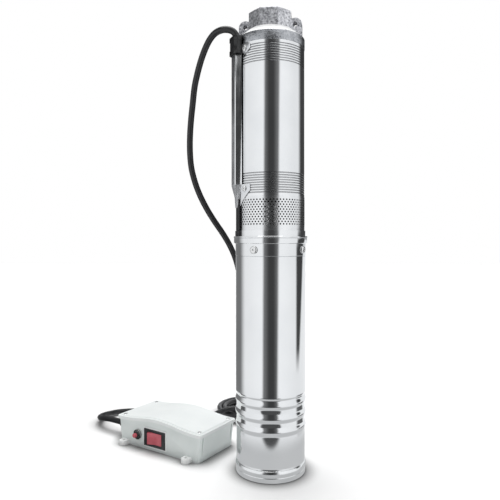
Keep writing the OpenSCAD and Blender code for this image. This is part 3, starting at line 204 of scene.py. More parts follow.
bright_steel = finish("bright_steel", dark=(0.74, 0.74, 0.74), light=(0.84, 0.84, 0.835), metallic=1,
                      rough=(0.12, 0.2), fine=1800, stretch=EVEN, bump=(0.05, 0.0002), cloud=90)
screw_steel = finish("screw_steel", dark=(0.7, 0.7, 0.7), light=(0.84, 0.84, 0.835), metallic=1,
                     rough=(0.3, 0.4), fine=1800, stretch=EVEN, bump=(0.08, 0.0003), cloud=160)
# Rougher steel with a darker tone, the darker tone painted shade on the guard's web
web_painted_shade = finish("web_painted_shade", dark=(0.62, 0.63, 0.65), light=(0.72, 0.725, 0.74), metallic=1,
                   rough=(0.26, 0.34), fine=1600, stretch=EVEN, bump=(0.06, 0.0003), cloud=90)
satin_steel = finish("satin_steel", dark=(0.74, 0.75, 0.77), light=(0.84, 0.845, 0.85), metallic=1,
                     rough=(0.38, 0.48), fine=1600, stretch=EVEN, bump=(0.1, 0.0003), cloud=90)
# Near-black steel painted on the grooves' down-facing sides as painted shade
groove_painted_shade = finish("groove_painted_shade", dark=(0.1, 0.1, 0.105), light=(0.16, 0.16, 0.165), metallic=1,
                      rough=(0.3, 0.4), fine=3000, stretch=ROUND_THE_TUBE, bump=(0.05, 0.0002), cloud=40)
cast_metal = finish("cast_metal", dark=(0.2, 0.205, 0.225), light=(0.84, 0.84, 0.87), metallic=0.9,
                    rough=(0.24, 0.42), fine=420, stretch=EVEN, bump=(0.55, 0.0014), cloud=330, detail=6)
# Near-white tone on the upward cone, a painted highlight
cone_painted_highlight = finish("cone_painted_highlight", dark=(0.86, 0.865, 0.86), light=(0.92, 0.925, 0.92), metallic=0.25,
                     rough=(0.4, 0.5), fine=2400, stretch=ROUND_THE_TUBE, bump=(0.1, 0.0003), cloud=60)
# Darker metal on the head's collar, painted shade
collar_painted_shade = finish("collar_painted_shade", dark=(0.3, 0.31, 0.33), light=(0.52, 0.53, 0.55), metallic=1,
                      rough=(0.22, 0.34), fine=700, stretch=EVEN, bump=(0.4, 0.0008), cloud=300)
# Near-black metal painted as shade: on the strainer's hole walls and on the bracket's core behind the strainer
painted_shade_metal = finish("painted_shade_metal", dark=(0.05, 0.05, 0.052), light=(0.09, 0.09, 0.09), metallic=0.4,
                   rough=(0.55, 0.7), fine=700, stretch=EVEN, bump=(0.4, 0.0008))
laminations = finish("laminations", dark=(0.14, 0.15, 0.17), light=(0.22, 0.23, 0.25), metallic=0.8,
                     rough=(0.4, 0.5), fine=2000, stretch=ROUND_THE_TUBE, bump=(0.3, 0.0003))
copper = finish("enamelled_copper", dark=(0.32, 0.12, 0.04), light=(0.46, 0.19, 0.07), metallic=0.7,
                rough=(0.25, 0.4), fine=900, stretch=EVEN, bump=(0.5, 0.0008))
rubber = finish("black_rubber", dark=(0.009, 0.009, 0.01), light=(0.016, 0.016, 0.018), metallic=0,
                rough=(0.26, 0.36), fine=1600, stretch=EVEN, bump=(0.12, 0.0003), cloud=120)
ceramic = finish("ceramic", dark=(0.78, 0.76, 0.69), light=(0.84, 0.82, 0.75), metallic=0, rough=(0.15, 0.22),
                 fine=1200, stretch=EVEN, bump=(0.05, 0.0002))
stage_plastic = finish("stage_plastic", dark=(0.66, 0.62, 0.52), light=(0.74, 0.7, 0.59), metallic=0,
                       rough=(0.42, 0.52), fine=1500, stretch=EVEN, bump=(0.1, 0.0002))
brass = finish("turned_brass", dark=(0.6, 0.42, 0.15), light=(0.72, 0.53, 0.22), metallic=1, rough=(0.2, 0.32),
               fine=2400, stretch=ROUND_THE_TUBE, bump=(0.1, 0.0002))
pale_plastic = finish("pale_plastic", dark=(0.76, 0.815, 0.8), light=(0.81, 0.86, 0.845), metallic=0,
                      rough=(0.36, 0.46), fine=1900, stretch=EVEN, bump=(0.12, 0.00025), cloud=30)
lid_plastic = finish("lid_plastic", dark=(0.83, 0.865, 0.86), light=(0.87, 0.9, 0.895), metallic=0,
                     rough=(0.34, 0.44), fine=1900, stretch=EVEN, bump=(0.12, 0.00025), cloud=30)
# Whiter copy of the box plastic, a painted highlight on what stands in front of the base's front wall
painted_highlight_plastic = finish("painted_highlight_plastic", dark=(0.92, 0.935, 0.93), light=(0.95, 0.96, 0.955), metallic=0,
                       rough=(0.3, 0.4), fine=1900, stretch=EVEN, bump=(0.1, 0.00025), cloud=30)
dark_plastic = finish("dark_plastic", dark=(0.014, 0.014, 0.015), light=(0.024, 0.024, 0.026), metallic=0,
                      rough=(0.3, 0.42), fine=1700, stretch=EVEN, bump=(0.1, 0.0002), cloud=90)
red_plastic = finish("red_plastic", dark=(0.54, 0.09, 0.12), light=(0.64, 0.14, 0.17), metallic=0,
                     rough=(0.2, 0.28), fine=1500, stretch=EVEN, bump=(0.05, 0.0002), cloud=80)
nut_metal = finish("nut_metal", dark=(0.3, 0.3, 0.3), light=(0.42, 0.42, 0.41), metallic=1, rough=(0.25, 0.35),
                   fine=1500, stretch=EVEN, bump=(0.08, 0.0002), cloud=90)

material_of_slot = {
    "steel": steel_sheet,
    "bright_steel": bright_steel,
    "turned_steel": turned_steel,
    "cast": cast_metal,
    "laminations": laminations,
    "enamel_copper": copper,
    "rubber": rubber,
    "ceramic": ceramic,
    "stage_plastic": stage_plastic,
    "brass": brass,
    "pale_plastic": pale_plastic,
    "dark_plastic": dark_plastic,
    "red_plastic": red_plastic,
}


# Pieces

JOIN_REACH = 2e-6
FLAT_ANGLE = 0.6


def set_finish(obj, material):
    obj.data.materials.clear()
    obj.data.materials.append(material)


def paint(obj, material, chosen):
    """One more finish, on the faces that are chosen."""
    index = len(obj.data.materials)
    obj.data.materials.append(material)
    for face in obj.data.polygons:
        if chosen(face):
            face.material_index = index


def outward(face):
    """The way out from the pump's axis at a face."""
    return Vector((face.center.x, face.center.y, 0)).normalized()


def smooth(mesh, angle=32):
    for polygon in mesh.polygons:
        polygon.use_smooth = True
    mesh.set_sharp_from_angle(angle=math.radians(angle))


def place_piece(obj, material, *replaced):
    """The piece takes the given finish, if any, and the body of the first node that it stands for, and those nodes
    are hidden.
    """
    if material is not None:
        set_finish(obj, material)
    if obj.name not in scene.collection.objects:
        scene.collection.objects.link(obj)
    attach(obj, body_of_node[replaced[0]])
    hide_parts(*replaced)
    return obj


def mesh_object(name, mesh):
    return bpy.data.objects.new(name, mesh)


def new_mesh(name, form):
    """The edited form as a new mesh."""
    mesh = bpy.data.meshes.new(name)
    form.to_mesh(mesh)
    form.free()
    return mesh


def frozen(obj):
    """The object with its modifiers turned into a plain mesh."""
    scene.collection.objects.link(obj)
    bpy.context.view_layer.update()
    evaluated = obj.evaluated_get(bpy.context.evaluated_depsgraph_get())
    mesh = bpy.data.meshes.new_from_object(evaluated)
    obj.modifiers.clear()
    obj.data = mesh
    return obj


def merged_copy(node):
    """A copy of a CAD node's mesh with its triangles joined into plain faces."""
    form = bmesh.new()
    form.from_mesh(nodes[node].data)
    bmesh.ops.remove_doubles(form, verts=form.verts, dist=JOIN_REACH)
    bmesh.ops.dissolve_limit(form, angle_limit=math.radians(FLAT_ANGLE), verts=form.verts, edges=form.edges)
    return new_mesh(node + "_mesh", form)


def softened(node, material, width, segments=2, angle=28, mesh=None):
    """A CAD node, or a mesh made from it, with its edges rounded."""
    obj = mesh_object("soft_" + node, mesh or merged_copy(node))
    bevel = obj.modifiers.new("edges", "BEVEL")
    bevel.width = width * MM
    bevel.segments = segments
    bevel.limit_method = "ANGLE"
    bevel.angle_limit = math.radians(angle)
    bevel.use_clamp_overlap = True
    obj = frozen(obj)
    smooth(obj.data)
    return place_piece(obj, material, node)


def turned_mesh(name, outline, steps=192):
    """A mesh turned about Z from a closed outline of radius and height in millimetres."""
    count = len(outline)
    points = []
    for step in range(steps):
        angle = 2 * math.pi * step / steps
        for radius, height in outline:
            points.append((radius * MM * math.cos(angle), radius * MM * math.sin(angle), height * MM))
    faces = []
    for step in range(steps):
        here = step * count
        there = (step + 1) % steps * count
        for k in range(count):
            nxt = (k + 1) % count
            faces.append((here + k, there + k, there + nxt, here + nxt))
    mesh = bpy.data.meshes.new(name)
    mesh.from_pydata(points, [], faces)
    form = bmesh.new()
    form.from_mesh(mesh)
    bmesh.ops.recalc_face_normals(form, faces=form.faces)
    form.to_mesh(mesh)
    form.free()
    smooth(mesh)
    return mesh


def turned(name, outline, material, node):
    return place_piece(mesh_object(name, turned_mesh(name, outline)), material, node)


# Control box place

BOX_X = -237
BOX_Y = 98
BOX_TURN = 33


def from_box(x, y, z):
    """A place measured from the control box's front left corner, in the pump's frame."""
    c = math.cos(math.radians(BOX_TURN))
    s = math.sin(math.radians(BOX_TURN))
    return (BOX_X + x * c + y * s, BOX_Y - x * s + y * c, z)


def box_way(x, y):
    """A direction along the box's own sides, in the pump's frame."""
    return Vector(from_box(x, y, 0)) - Vector(from_box(0, 0, 0))


# Lead

LEAD_R = 4.5
LEAD_STEPS = 3
LEAD_SIDE_STEPS = 3
GLAND_Y = 25.5
GLAND_Z = 19
PUMP_LEAD = [
    (-47.3, -21.1, 588.1), (-47.3, -21.1, 591.6), (-51.5, -21, 596.5), (-58, -20.5, 599), (-66.5, -19, 599.2),
    (-75.5, -16, 596), (-83, -12, 589), (-89.5, -7.5, 578.5), (-95.5, -3, 565), (-101, 2.5, 549), (-106, 8, 530),
    (-109, 13, 509), (-112, 18, 487), (-114, 22, 464), (-114.5, 26, 442), (-113, 31, 420), (-108, 36, 399),
    (-101, 41, 380), (-91, 47, 360), (-80, 53, 342), (-68, 59, 324), (-58, 65, 306), (-50, 72, 286), (-44, 81, 260),
    (-40, 90, 233), (-36, 100, 205), (-27, 112, 176), (-13, 124, 147), (4, 136, 117), (17, 147, 88), (24, 157, 62),
    (21, 166, 41), (8, 171, 26.5), (-12, 173, 17.5),
]
BOX_LEAD = [
    (-42, 183, 16), (-58, 181, 24), (-78, 178, 20), (-98, 177, 11), (-118, 180, 6.5), (-140, 190, 4.8),
    (-165, 203, 4.8), (-190, 214, 4.8), (-215, 223, 4.8), (-240, 227, 4.8), (-262, 223, 5), (-278, 211, 5.8),
    (-287, 195, 7.5), (-287, 177, 10.5), (-280, 161, 14.5),
    from_box(-55, GLAND_Y, GLAND_Z - 1), from_box(-37, GLAND_Y, GLAND_Z), from_box(-11.2, GLAND_Y, GLAND_Z),
]
COIL_CENTRE = (-34, 222)
COIL_LAYERS = 2
COIL_PITCH = 9.3
COIL_FIRST_Z = 4.65
COIL_OUTER_R = 49.3
COIL_INNER_R = 40.0
COIL_STEP = 10
COIL_FRONT = 270
RAMP_START = 300
RAMP_END = 350


def coil_point(radius, angle, height):
    """A place on the coil, with the angle counted from its front towards its left."""
    turn = math.radians(angle + COIL_FRONT)
    return (COIL_CENTRE[0] - radius * math.cos(turn), COIL_CENTRE[1] + radius * math.sin(turn), height)


def coil_turns():
    """Down the outer column layer by layer, then in, and up the inner column."""
    points = []
    levels = [COIL_FIRST_Z + COIL_PITCH * k for k in range(COIL_LAYERS)]
    down = list(reversed(levels))
    for k, level in enumerate(down):
        last = k == COIL_LAYERS - 1
        below = level if last else down[k + 1]
        for angle in range(0, 360, COIL_STEP):
            share = soft_step(angle, RAMP_START, RAMP_END)
            radius = mixed(COIL_OUTER_R, COIL_INNER_R, share) if last else COIL_OUTER_R
            points.append(coil_point(radius, angle, mixed(level, below, share)))
    for k, level in enumerate(levels):
        last = k == COIL_LAYERS - 1
        above = level if last else levels[k + 1]
        for angle in range(0, RAMP_END if last else 360, COIL_STEP):
            share = soft_step(angle, RAMP_START, RAMP_END)
            points.append(coil_point(COIL_INNER_R, angle, mixed(level, above, share)))
    return points


def through(points, steps):
    """A smooth line through the points, with a few places between each two."""
    line = []
    for i in range(len(points) - 1):
        before = Vector(points[max(i - 1, 0)])
        start = Vector(points[i])
        end = Vector(points[i + 1])
        after = Vector(points[min(i + 2, len(points) - 1)])
        for k in range(steps):
            t = k / steps
            line.append(0.5 * (2 * start + (end - before) * t + (2 * before - 5 * start + 4 * end - after) * t * t
                               + (3 * start - before - 3 * end + after) * t * t * t))
    line.append(Vector(points[-1]))
    return line


def add_lead():
    line = through(PUMP_LEAD + coil_turns() + BOX_LEAD, LEAD_STEPS)
    curve = bpy.data.curves.new("lead", "CURVE")
    curve.dimensions = "3D"
    curve.bevel_depth = LEAD_R * MM
    curve.bevel_resolution = LEAD_SIDE_STEPS
    curve.use_fill_caps = True
    spline = curve.splines.new("POLY")
    spline.points.add(len(line) - 1)
    for point, place in zip(spline.points, line):
        point.co = (*(place * MM), 1)
    spline.use_smooth = True
    obj = place_piece(mesh_object("lead", curve), rubber, "pump_lead", "lead_coil", "box_lead")


add_lead()


# Plain CAD nodes keep their solids and take their slot's finish

for node_name, node in nodes.items():
    set_finish(node, material_of_slot[slot_of_node[node_name]])


# Motor tube

SHELL_Z = 18
STEP_Z = 108
SHELL_TOP_Z = 294.5
LOWER_R = 47
MOTOR_R = 48
SHELL_WALL = 1.5
BEAD_PLACES = (66, 83, 100)
BEAD_W = 12.5
BEAD_RISE = 1.5
BEAD_STEPS = 8
STEP_FOOT = 0.6
STEP_FOOT_OUT = 0.35
STEP_RISE = 1
STEP_HEAD = 1.8
STEP_HEAD_IN = 0.3
TOP_EDGE = 0.5
BEND_GAP = 1


def shell_side(offset):
    """The tube's outline; a place close to each bend keeps the plain lengths' reflections straight."""
    lower = LOWER_R - offset
    upper = MOTOR_R - offset
    points = [(lower, SHELL_Z), (lower, BEAD_PLACES[0] - BEAD_W / 2 - BEND_GAP)]
    for place in BEAD_PLACES:
        for k in range(-BEAD_STEPS, BEAD_STEPS + 1):
            rise = BEAD_RISE * (1 + math.cos(math.pi * k / BEAD_STEPS)) / 2
            points.append((lower + rise, place + k * BEAD_W / (2 * BEAD_STEPS)))
    points += [(lower, STEP_Z - STEP_FOOT), (lower + STEP_FOOT_OUT, STEP_Z),
               (upper - STEP_HEAD_IN, STEP_Z + STEP_RISE), (upper, STEP_Z + STEP_HEAD),
               (upper, STEP_Z + STEP_HEAD + BEND_GAP), (upper, SHELL_TOP_Z - TOP_EDGE - BEND_GAP),
               (upper, SHELL_TOP_Z - TOP_EDGE), (upper - TOP_EDGE, SHELL_TOP_Z)]
    return points


turned("motor_tube", shell_side(0) + shell_side(SHELL_WALL)[::-1], steel_tube, "motor_shell")


# Barrel with its rolled threads

BARREL_Z = 374.1
BARREL_TOP_Z = 577.1
BARREL_R = 46.5
BARREL_WALL = 1.2
ROLL_PITCH = 3.2
ROLL_DEPTH = 0.7
ROLL_STEPS = 8
LOWER_ROLLS = 9
UPPER_ROLLS = 8
LOWER_ROLL_Z = BARREL_Z + 2
UPPER_ROLL_Z = BARREL_TOP_Z - 4 - UPPER_ROLLS * ROLL_PITCH


def rolled(start, count):
    """Flat crests half a pitch high, with round grooves between them."""
    points = []
    for roll in range(count):
        for k in range(ROLL_STEPS + 1):
            depth = ROLL_DEPTH * math.sin(math.pi * k / ROLL_STEPS)
            points.append((BARREL_R - depth, start + (roll + 0.5 + k / (2 * ROLL_STEPS)) * ROLL_PITCH))
    return points


barrel_outside = [(BARREL_R, BARREL_Z)] + rolled(LOWER_ROLL_Z, LOWER_ROLLS)
barrel_outside += rolled(UPPER_ROLL_Z, UPPER_ROLLS) + [(BARREL_R, BARREL_TOP_Z)]
barrel_inside = [(BARREL_R - BARREL_WALL, BARREL_TOP_Z), (BARREL_R - BARREL_WALL, BARREL_Z)]


def in_groove_looking_down(face):
    return face.normal.z < -0.5 and face.center.z > (BARREL_Z + 1) * MM


def add_barrel():
    """The barrel, with painted shade, a near-black steel, on the side of each groove that looks down."""
    obj = turned("barrel", barrel_outside + barrel_inside, steel_barrel, "pump_barrel")
    # Painted shade on the side of each groove that looks down
    paint(obj, groove_painted_shade, in_groove_looking_down)


add_barrel()


# Strainer sleeve, one cell with a hole repeated round and up

STRAINER_Z = 328.5
STRAINER_H = 45.6
STRAINER_R = 46.8
STRAINER_SHEET = 0.8
HOLE_ROWS = 11
HOLES_ROUND = 66
HOLE_FIRST_Z = 337
HOLE_ROW_PITCH = 3.2
HOLE_R = 1.15
HOLE_SIDES = 12
CELL_HALF_W = STRAINER_R * math.tan(math.pi / HOLES_ROUND)
CELL_HALF_H = HOLE_ROW_PITCH / 2
LEAST_SHARE = 1e-6
SAME_PLACE = 1e-9
SHEET_JOIN_REACH = 1e-6


def cell_place(y, z, depth):
    """A place on the cell, drawn in towards the axis by a depth."""
    return ((STRAINER_R - depth) * MM, y * MM * (1 - depth / STRAINER_R), z * MM)


def cell_loops(points, depth):
    """Adds the cell's edge and its hole on one side of the sheet, and gives their places in the list."""
    edge = []
    hole = []
    for k in range(HOLE_SIDES):
        angle = 2 * math.pi * (k + 0.5) / HOLE_SIDES
        c = math.cos(angle)
        s = math.sin(angle)
        reach = min(CELL_HALF_W / max(abs(c), LEAST_SHARE), CELL_HALF_H / max(abs(s), LEAST_SHARE))
        edge.append(len(points))
        points.append(cell_place(reach * c, reach * s, depth))
        hole.append(len(points))
        points.append(cell_place(HOLE_R * c, HOLE_R * s, depth))
    return edge, hole


def cell_side(points, edge, hole, depth):
    """The faces between the edge and the hole, with the cell's corners added where the edge turns."""
    faces = []
    for k in range(HOLE_SIDES):
        nxt = (k + 1) % HOLE_SIDES
        face = [edge[k], edge[nxt], hole[nxt], hole[k]]
        here = points[edge[k]]
        there = points[edge[nxt]]
        same_y = abs(here[1] - there[1]) < SAME_PLACE
        same_z = abs(here[2] - there[2]) < SAME_PLACE
        if not same_y and not same_z:
            face.insert(1, len(points))
            corner_y = math.copysign(CELL_HALF_W, here[1] + there[1])
            corner_z = math.copysign(CELL_HALF_H, here[2] + there[2])
            points.append(cell_place(corner_y, corner_z, depth))
        faces.append(face if depth == 0 else face[::-1])
    return faces


def hole_cell():
    """A flat piece of sheet round one hole, standing across +X."""
    points = []
    front_edge, front = cell_loops(points, 0)
    back_edge, back = cell_loops(points, STRAINER_SHEET)
    faces = cell_side(points, front_edge, front, 0)
    faces += cell_side(points, back_edge, back, STRAINER_SHEET)
    for k in range(HOLE_SIDES):
        nxt = (k + 1) % HOLE_SIDES
        faces.append([front[k], front[nxt], back[nxt], back[k]])
    mesh = bpy.data.meshes.new("hole_cell")
    mesh.from_pydata(points, [], faces)
    return mesh


def cell_spots(tree, given):
    """The number of cells, and the turn and height of each from its index."""
    rows = given.outputs["Rows"]
    in_row = given.outputs["Round"]
    index = tree.nodes.new("GeometryNodeInputIndex").outputs["Index"]
    count = maths(tree, "MULTIPLY", rows, in_row)
    row = maths(tree, "FLOOR", maths(tree, "DIVIDE", index, in_row), 0)
    place = maths(tree, "SUBTRACT", index, maths(tree, "MULTIPLY", row, in_row))
    shift = maths(tree, "MULTIPLY", maths(tree, "MODULO", row, 2), 0.5)
    full_turns = maths(tree, "MULTIPLY", maths(tree, "ADD", place, shift), 2 * math.pi)
    turn = maths(tree, "DIVIDE", full_turns, in_row)
    rise = maths(tree, "MULTIPLY", row, given.outputs["Row pitch"])
    height = maths(tree, "ADD", given.outputs["First height"], rise)
    return count, turn, height


def perforation_tree(cell):
    """Rows of the cell round the axis, every other row turned by half a step."""
    tree = bpy.data.node_groups.new("perforation", "GeometryNodeTree")
    for name, kind in (("Rows", "Int"), ("Round", "Int"), ("First height", "Float"), ("Row pitch", "Float")):
        tree.interface.new_socket(name, in_out="INPUT", socket_type="NodeSocket" + kind)
    tree.interface.new_socket("Geometry", in_out="OUTPUT", socket_type="NodeSocketGeometry")
    add = tree.nodes.new
    link = tree.links.new
    count, turn, height = cell_spots(tree, add("NodeGroupInput"))
    line = add("GeometryNodeMeshLine")
    link(count, line.inputs["Count"])
    spot = add("ShaderNodeCombineXYZ")
    link(height, spot.inputs["Z"])
    move = add("GeometryNodeSetPosition")
    link(line.outputs["Mesh"], move.inputs["Geometry"])
    link(spot.outputs["Vector"], move.inputs["Position"])
    angles = add("ShaderNodeCombineXYZ")
    link(turn, angles.inputs["Z"])
    model = add("GeometryNodeObjectInfo")
    model.inputs["Object"].default_value = cell
    copies = add("GeometryNodeInstanceOnPoints")
    link(move.outputs["Geometry"], copies.inputs["Points"])
    link(model.outputs["Geometry"], copies.inputs["Instance"])
    link(angles.outputs["Vector"], copies.inputs["Rotation"])
    real = add("GeometryNodeRealizeInstances")
    link(copies.outputs["Instances"], real.inputs["Geometry"])
    coat = add("GeometryNodeSetMaterial")
    coat.inputs["Material"].default_value = steel_sheet
    link(real.outputs["Geometry"], coat.inputs["Geometry"])
    link(coat.outputs["Geometry"], add("NodeGroupOutput").inputs["Geometry"])
    return tree


def set_inputs(modifier, tree, values):
    for socket in tree.interface.items_tree:
        if socket.item_type == "SOCKET" and socket.in_out == "INPUT" and socket.name in values:
            modifier[socket.identifier] = values[socket.name]


def plain_ring(low, high):
    """Sheet with no holes between two heights."""
    steps = HOLES_ROUND * 2
    points = []
    for radius in (STRAINER_R, STRAINER_R - STRAINER_SHEET):
        for height in (low, high):
            for k in range(steps):
                angle = 2 * math.pi * (k + 0.5) / steps
                points.append((radius * MM * math.cos(angle), radius * MM * math.sin(angle), height * MM))
    faces = []
    for a, b in ((0, 1), (1, 3), (3, 2), (2, 0)):
        for k in range(steps):
            nxt = (k + 1) % steps
            faces.append((a * steps + k, a * steps + nxt, b * steps + nxt, b * steps + k))
    return points, faces


def perforated_sheet():
    """The rows of holes as one plain mesh object."""
    cell = mesh_object("hole_cell", hole_cell())
    tree = perforation_tree(cell)
    obj = mesh_object("strainer_sleeve", bpy.data.meshes.new("strainer_sleeve"))
    modifier = obj.modifiers.new("perforation", "NODES")
    modifier.node_group = tree
    set_inputs(modifier, tree, {"Rows": HOLE_ROWS, "Round": HOLES_ROUND, "First height": HOLE_FIRST_Z * MM,
                                "Row pitch": HOLE_ROW_PITCH * MM})
    obj = frozen(obj)
    bpy.data.objects.remove(cell)
    return obj


def in_hole(face):
    across = abs(face.normal.dot(outward(face))) < 0.5
    return across and STRAINER_Z + 1 < face.center.z / MM < STRAINER_Z + STRAINER_H - 1


def add_strainer():
    """The rows of holes between two plain rings, with painted shade on the holes' walls."""
    obj = perforated_sheet()
    form = bmesh.new()
    form.from_mesh(obj.data)
    holes_low = HOLE_FIRST_Z - HOLE_ROW_PITCH / 2
    holes_high = HOLE_FIRST_Z + (HOLE_ROWS - 0.5) * HOLE_ROW_PITCH
    for low, high in ((STRAINER_Z, holes_low), (holes_high, STRAINER_Z + STRAINER_H)):
        points, faces = plain_ring(low, high)
        verts = [form.verts.new(p) for p in points]
        for face in faces:
            form.faces.new([verts[k] for k in face])
    bmesh.ops.remove_doubles(form, verts=form.verts, dist=SHEET_JOIN_REACH)
    form.to_mesh(obj.data)
    form.free()
    smooth(obj.data)
    place_piece(obj, steel_sheet, "strainer")
    # Painted shade on the hole walls
    paint(obj, painted_shade_metal, in_hole)


add_strainer()


# Cast, turned and moulded pieces with rounded edges

softened("bottom_cap", turned_steel, width=0.3)
softened("guard_sleeve", rubber, width=0.7)
softened("cable_boot", rubber, width=0.8)
softened("motor_cable", rubber, width=0.5)
softened("switch_body", dark_plastic, width=0.5)
softened("rocker", red_plastic, width=0.6)
softened("reset_button", red_plastic, width=0.5)
softened("box_glands", dark_plastic, width=0.4)
softened("flange_screws", screw_steel, width=0.25)
softened("guard_screws", screw_steel, width=0.2)
softened("lid_screws", bright_steel, width=0.15)


# Cable guard, folded with round bends, with a satin point and a rougher web painted darker as painted shade

GUARD_Z = 390.1
GUARD_BEND = 1.5
GUARD_BEND_STEPS = 4
GUARD_FOLDS = 2
LEAST_FOLD = 60
STRAIGHT_OUT = 0.97


def guard_mesh():
    """The guard's sheet, with its outer folds rounded."""
    form = bmesh.new()
    form.from_mesh(merged_copy("cable_guard"))
    tall = [edge for edge in form.edges if abs(edge.verts[0].co.z - edge.verts[1].co.z) > LEAST_FOLD * MM]
    tall.sort(key=lambda edge: Vector(edge.verts[0].co[:2]).length)
    bmesh.ops.bevel(form, geom=tall[-GUARD_FOLDS:], offset=GUARD_BEND * MM, segments=GUARD_BEND_STEPS, profile=0.5,
                    affect="EDGES")
    return new_mesh("guard_folds", form)


def on_guard_point(face):
    return face.center.z < GUARD_Z * MM


def on_guard_web(face):
    return not on_guard_point(face) and face.normal.dot(outward(face)) > STRAIGHT_OUT


def add_guard():
    obj = softened("cable_guard", steel_sheet, width=0.3, mesh=guard_mesh())
    paint(obj, satin_steel, on_guard_point)
    paint(obj, web_painted_shade, on_guard_web)


add_guard()


# Box base, with its lugs and the frame round the switch painted paler than its walls as a painted highlight

BASE_FRONT_Y = 2
FACE_EASE = 0.1


def on_base_front(face):
    inside = (face.center - Vector(from_box(0, 0, 0)) * MM).dot(box_way(0, 1))
    return inside < (BASE_FRONT_Y - FACE_EASE) * MM


def add_base():
    obj = softened("box_base", pale_plastic, width=0.6)
    paint(obj, painted_highlight_plastic, on_base_front)


add_base()


# Discharge head, a rough casting with a flat-sided boss, a turned cone painted near-white as a painted highlight,
# and a collar painted darker as painted shade

COLLAR_TOP_Z = 590.1
COLLAR_ROUND = 0.4
CONE_SLOPE = 0.3
CONE_TOP_Z = 602.1
HEAD_TOP_Z = 627.1
BOSS_AF = 57.5
BOSS_TURN = 16
BOSS_SIDES = 8
BOSS_SKIN = 0.1
BOSS_LIFT = 0.12
BOSS_SINK = 1
BOSS_CHAMFER = 1.2
OUTLET_R = 19.5
OUTLET_LAND = 2.1


def boss_mesh():
    """The boss's eight flats, just outside the CAD's boss and just above its top."""
    to_corner = math.cos(math.pi / BOSS_SIDES)
    corner_r = (BOSS_AF / 2 + BOSS_SKIN) / to_corner
    mouth_r = (OUTLET_R + OUTLET_LAND) / to_corner
    low_z = CONE_TOP_Z - BOSS_SINK
    top_z = HEAD_TOP_Z + BOSS_LIFT
    mesh = turned_mesh("boss", [
        (mouth_r, low_z), (corner_r, low_z), (corner_r, top_z - BOSS_CHAMFER),
        (corner_r - BOSS_CHAMFER, top_z), (mouth_r, top_z)], BOSS_SIDES)
    mesh.transform(Matrix.Rotation(math.radians(BOSS_TURN), 4, "Z"))
    return mesh


def on_collar(face):
    return face.center.z / MM < COLLAR_TOP_Z + COLLAR_ROUND


def on_cone(face):
    return not on_collar(face) and face.center.z / MM < CONE_TOP_Z and face.normal.z > CONE_SLOPE


def add_head():
    obj = softened("discharge_head", cast_metal, width=0.5)
    # Painted shade on the collar
    paint(obj, collar_painted_shade, on_collar)
    # Painted highlight on the cone
    paint(obj, cone_painted_highlight, on_cone)
    form = bmesh.new()
    form.from_mesh(obj.data)
    form.from_mesh(boss_mesh())
    form.to_mesh(obj.data)
    form.free()
    smooth(obj.data)


add_head()


# Suction bracket, with polished rings outside and, behind the strainer, a casting painted dark as painted shade

SKIRT_R = 48.3
FLANGE_Z = 311.5
FLANGE_R = 50.5
BAND_Z = 321
BAND_R = 48
SKIRT_IN_R = 45.6
SKIRT_EDGE = 0.5
SKIRT_HOLLOW = 0.4
FLANGE_ROUND = [(-0.8, 0), (-0.2, 0.3), (0, 1)]
GROOVE_Z = BAND_Z - 3
GROOVE_DEPTH = 0.5
GROOVE_FALL = 0.4
LIP_Z = BAND_Z - 1.8
LIP_R = FLANGE_R + 0.3
LIP_EDGE = 0.15
CORE_CUT_Z = STRAINER_Z + 0.2


def bracket_rings():
    """The skirt, the flange with its groove, and the plain band."""
    skirt = [(SKIRT_IN_R, SHELL_TOP_Z), (SKIRT_R - SKIRT_EDGE, SHELL_TOP_Z), (SKIRT_R, SHELL_TOP_Z + SKIRT_EDGE),
             (SKIRT_R, FLANGE_Z - SKIRT_HOLLOW), (SKIRT_R + SKIRT_HOLLOW, FLANGE_Z)]
    flange = [(FLANGE_R + out, FLANGE_Z + up) for out, up in FLANGE_ROUND]
    groove = [(FLANGE_R, GROOVE_Z), (FLANGE_R - GROOVE_DEPTH, GROOVE_Z + GROOVE_FALL)]
    lip = [(LIP_R, LIP_Z), (LIP_R, BAND_Z - LIP_EDGE), (LIP_R - LIP_EDGE, BAND_Z)]
    band = [(BAND_R, BAND_Z), (BAND_R, STRAINER_Z), (SKIRT_IN_R, STRAINER_Z)]
    return turned_mesh("bracket_rings", skirt + flange + groove + lip + band)


def bracket_core():
    """What the CAD's bracket has behind the strainer, cut off above the rings."""
    core = bmesh.new()
    core.from_mesh(nodes["suction_bracket"].data)
    bmesh.ops.remove_doubles(core, verts=core.verts, dist=JOIN_REACH)
    parts = core.verts[:] + core.edges[:] + core.faces[:]
    cut = bmesh.ops.bisect_plane(core, geom=parts, plane_co=(0, 0, CORE_CUT_Z * MM), plane_no=(0, 0, 1),
                                 clear_inner=True)
    rim = [part for part in cut["geom_cut"] if isinstance(part, bmesh.types.BMEdge)]
    bmesh.ops.edgeloop_fill(core, edges=rim)
    # The whole core is painted dark as painted shade
    for face in core.faces:
        face.material_index = 1
        face.smooth = False
    return core


def add_bracket():
    form = bracket_core()
    form.from_mesh(bracket_rings())
    mesh = new_mesh("bracket", form)
    mesh.materials.append(steel_tube)
    mesh.materials.append(painted_shade_metal)
    place_piece(mesh_object("bracket", mesh), None, "suction_bracket")


add_bracket()


# Box lid with its arched panel

